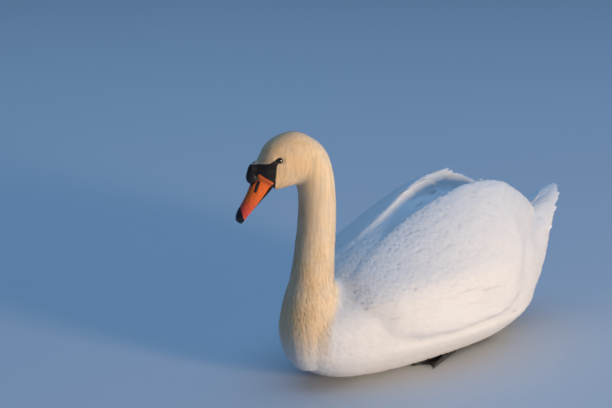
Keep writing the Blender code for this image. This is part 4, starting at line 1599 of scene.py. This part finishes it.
def claws_for(side, node):
    """Blunt claws on the three toe tips of one foot, as one object."""
    points = corners_of(node)
    heel = np.array([points[:, 0].mean(), points[:, 1].mean()])
    claws = []
    for angle in TOE_WAYS:
        turn = math.radians(angle)
        reach = points[:, :2] @ np.array([side * math.sin(turn), -math.cos(turn)])
        tip = points[reach > reach.max() - 0.001].mean(axis=0)
        way = Vector((*(tip[:2] - heel), 0.0)).normalized()
        way = (way - UP * CLAW_DOWN).normalized()
        centre = Vector(tip) + way * (CLAW_LENGTH * CLAW_OUT)
        centre.z = max(centre.z, CLAW_RADIUS + CLAW_CLEAR)
        deselect()
        bpy.ops.mesh.primitive_cone_add(
            vertices=16, radius1=CLAW_RADIUS, radius2=CLAW_RADIUS * CLAW_TIP, depth=CLAW_LENGTH,
            location=centre, rotation=way.to_track_quat("Z", "Y").to_euler(),
        )
        claw = bpy.context.object
        modify(claw, "BEVEL", width=0.0005, segments=2)
        modify(claw, "SUBSURF", levels=1, render_levels=1)
        claws.append(claw)
    pick(*claws)
    bpy.ops.object.join()
    bpy.ops.object.shade_smooth()
    return claws[0]


class SWAN_OT_feet(bpy.types.Operator):
    """Models the scaled legs and feet with their claws"""

    bl_idname = "swan.feet"
    bl_label = "Feet"

    def execute(self, context):
        colours = context.scene.swan_colours
        finish = Finish("foot_scales", roughness=0.5, specular_ior_level=0.4)
        place = finish.place()
        grain = finish.noise(place, 60.0)
        finish.feed("Base Color", finish.shade(colours.foot, finish.ramp(grain, 0.3, 0.7, 0.6, 1.5)))
        finish.relief(finish.cracks(place, 420.0).least(0.25) * 3.0, 0.0006, 0.7)
        horn = black_finish("claw_horn", colours, 0.35)
        for side, name in SIDES:
            foot = node_copy(f"leg_{name}")
            remesh(foot, FOOT_GRAIN)
            smooth(foot, 4)
            place_points(foot, keep_above(coordinates(foot), 0.0))
            bpy.ops.object.shade_smooth()
            settle(foot, f"foot_{name}", finish.material, (f"leg_{name}",))
            settle(claws_for(side, f"leg_{name}"), f"claws_{name}", horn)
        return {"FINISHED"}


# ---------------------------------------------------------------------------------------------------------
# Stage


# The point that the camera goes round and the lamps shine at, and the way the camera looks
STAGE_MIDDLE = Vector((0.0, 0.0, 0.21))
CAMERA_AIM = Vector((-0.64215, 0.72882, -0.23762))
FLOOR_RADIUS, FLOOR_COLOUR = 9.0, (0.66, 0.68, 0.70)
AIR_COLOUR = (0.045, 0.085, 0.16)
# The lamps, a low warm one and a broad blue one overhead: place, size, power and colour
LAMPS = {
    "key": ((4.67, -0.30, 0.70), 1.0, 188.0, (1.0, 0.80, 0.61)),
    "sky": ((-0.6, 0.9, 5.0), 8.0, 184.0, (0.29, 0.58, 1.0)),
}


class SWAN_OT_stage(bpy.types.Operator):
    """Sets the camera, floor and lights"""

    bl_idname = "swan.stage"
    bl_label = "Stage"

    def execute(self, context):
        stage = context.scene.swan_stage
        a, e = stage.azimuth, stage.elevation
        back = Vector((math.sin(a) * math.cos(e), -math.cos(a) * math.cos(e), math.sin(e)))
        deselect()
        bpy.ops.object.camera_add(location=STAGE_MIDDLE + back * stage.distance)
        camera = bpy.context.object
        camera.data.lens = stage.lens
        camera.data.sensor_width = 36.0
        camera.data.clip_start = 0.05
        camera.rotation_euler = CAMERA_AIM.to_track_quat("-Z", "Y").to_euler()
        context.scene.camera = camera
        context.scene.view_settings.view_transform = "Standard"

        bpy.ops.mesh.primitive_circle_add(
            vertices=96, radius=FLOOR_RADIUS, fill_type="NGON", location=(0, 0, 0)
        )
        floor = bpy.context.object
        floor.name = "floor"
        paper = Finish("pale_floor", roughness=0.7)
        tint = paper.ramp(paper.noise(paper.place(), 0.6, 2.0), 0.3, 0.7, 0.97, 1.0)
        paper.feed("Base Color", paper.shade(FLOOR_COLOUR, tint))
        floor.data.materials.append(paper.material)

        world = bpy.data.worlds.new("studio")
        context.scene.world = world
        world.use_nodes = True
        air = world.node_tree.nodes["Background"]
        air.inputs["Color"].default_value = (*AIR_COLOUR, 1.0)
        air.inputs["Strength"].default_value = 1.0
        for name, (place, size, power, colour) in LAMPS.items():
            bpy.ops.object.light_add(type="AREA", location=place)
            light = bpy.context.object
            light.name = name
            light.data.size = size
            light.data.energy = power
            light.data.color = colour
            light.rotation_euler = (STAGE_MIDDLE - Vector(place)).to_track_quat("-Z", "Y").to_euler()
        return {"FINISHED"}


class SWAN_PT_panel(bpy.types.Panel):
    """The swan's pieces, in the order they are made"""

    bl_label = "Mute Swan Figure"
    bl_space_type = "VIEW_3D"
    bl_region_type = "UI"
    bl_category = "Swan"

    def draw(self, context):
        for group in (context.scene.swan_coat, context.scene.swan_colours, context.scene.swan_stage):
            box = self.layout.box()
            for label in group.__annotations__:
                box.prop(group, label)
        for operator in OPERATORS:
            self.layout.operator(operator.bl_idname)


OPERATORS = (
    SWAN_OT_skin, SWAN_OT_head_coat, SWAN_OT_body_coat, SWAN_OT_wing_coat, SWAN_OT_tail_coat,
    SWAN_OT_bill, SWAN_OT_eyes, SWAN_OT_feet, SWAN_OT_stage,
)
GROUPS = {"swan_coat": SwanCoatSettings, "swan_colours": SwanColourSettings, "swan_stage": SwanStageSettings}
CLASSES = (*GROUPS.values(), *OPERATORS, SWAN_PT_panel)


def register():
    for cls in CLASSES:
        bpy.utils.register_class(cls)
    for label, group in GROUPS.items():
        setattr(bpy.types.Scene, label, bpy.props.PointerProperty(type=group))


def unregister():
    for label in GROUPS:
        delattr(bpy.types.Scene, label)
    for cls in reversed(CLASSES):
        bpy.utils.unregister_class(cls)


def main():
    register()
    for operator in OPERATORS:
        category, name = operator.bl_idname.split(".")
        getattr(getattr(bpy.ops, category), name)()


if __name__ == "__main__":
    main()
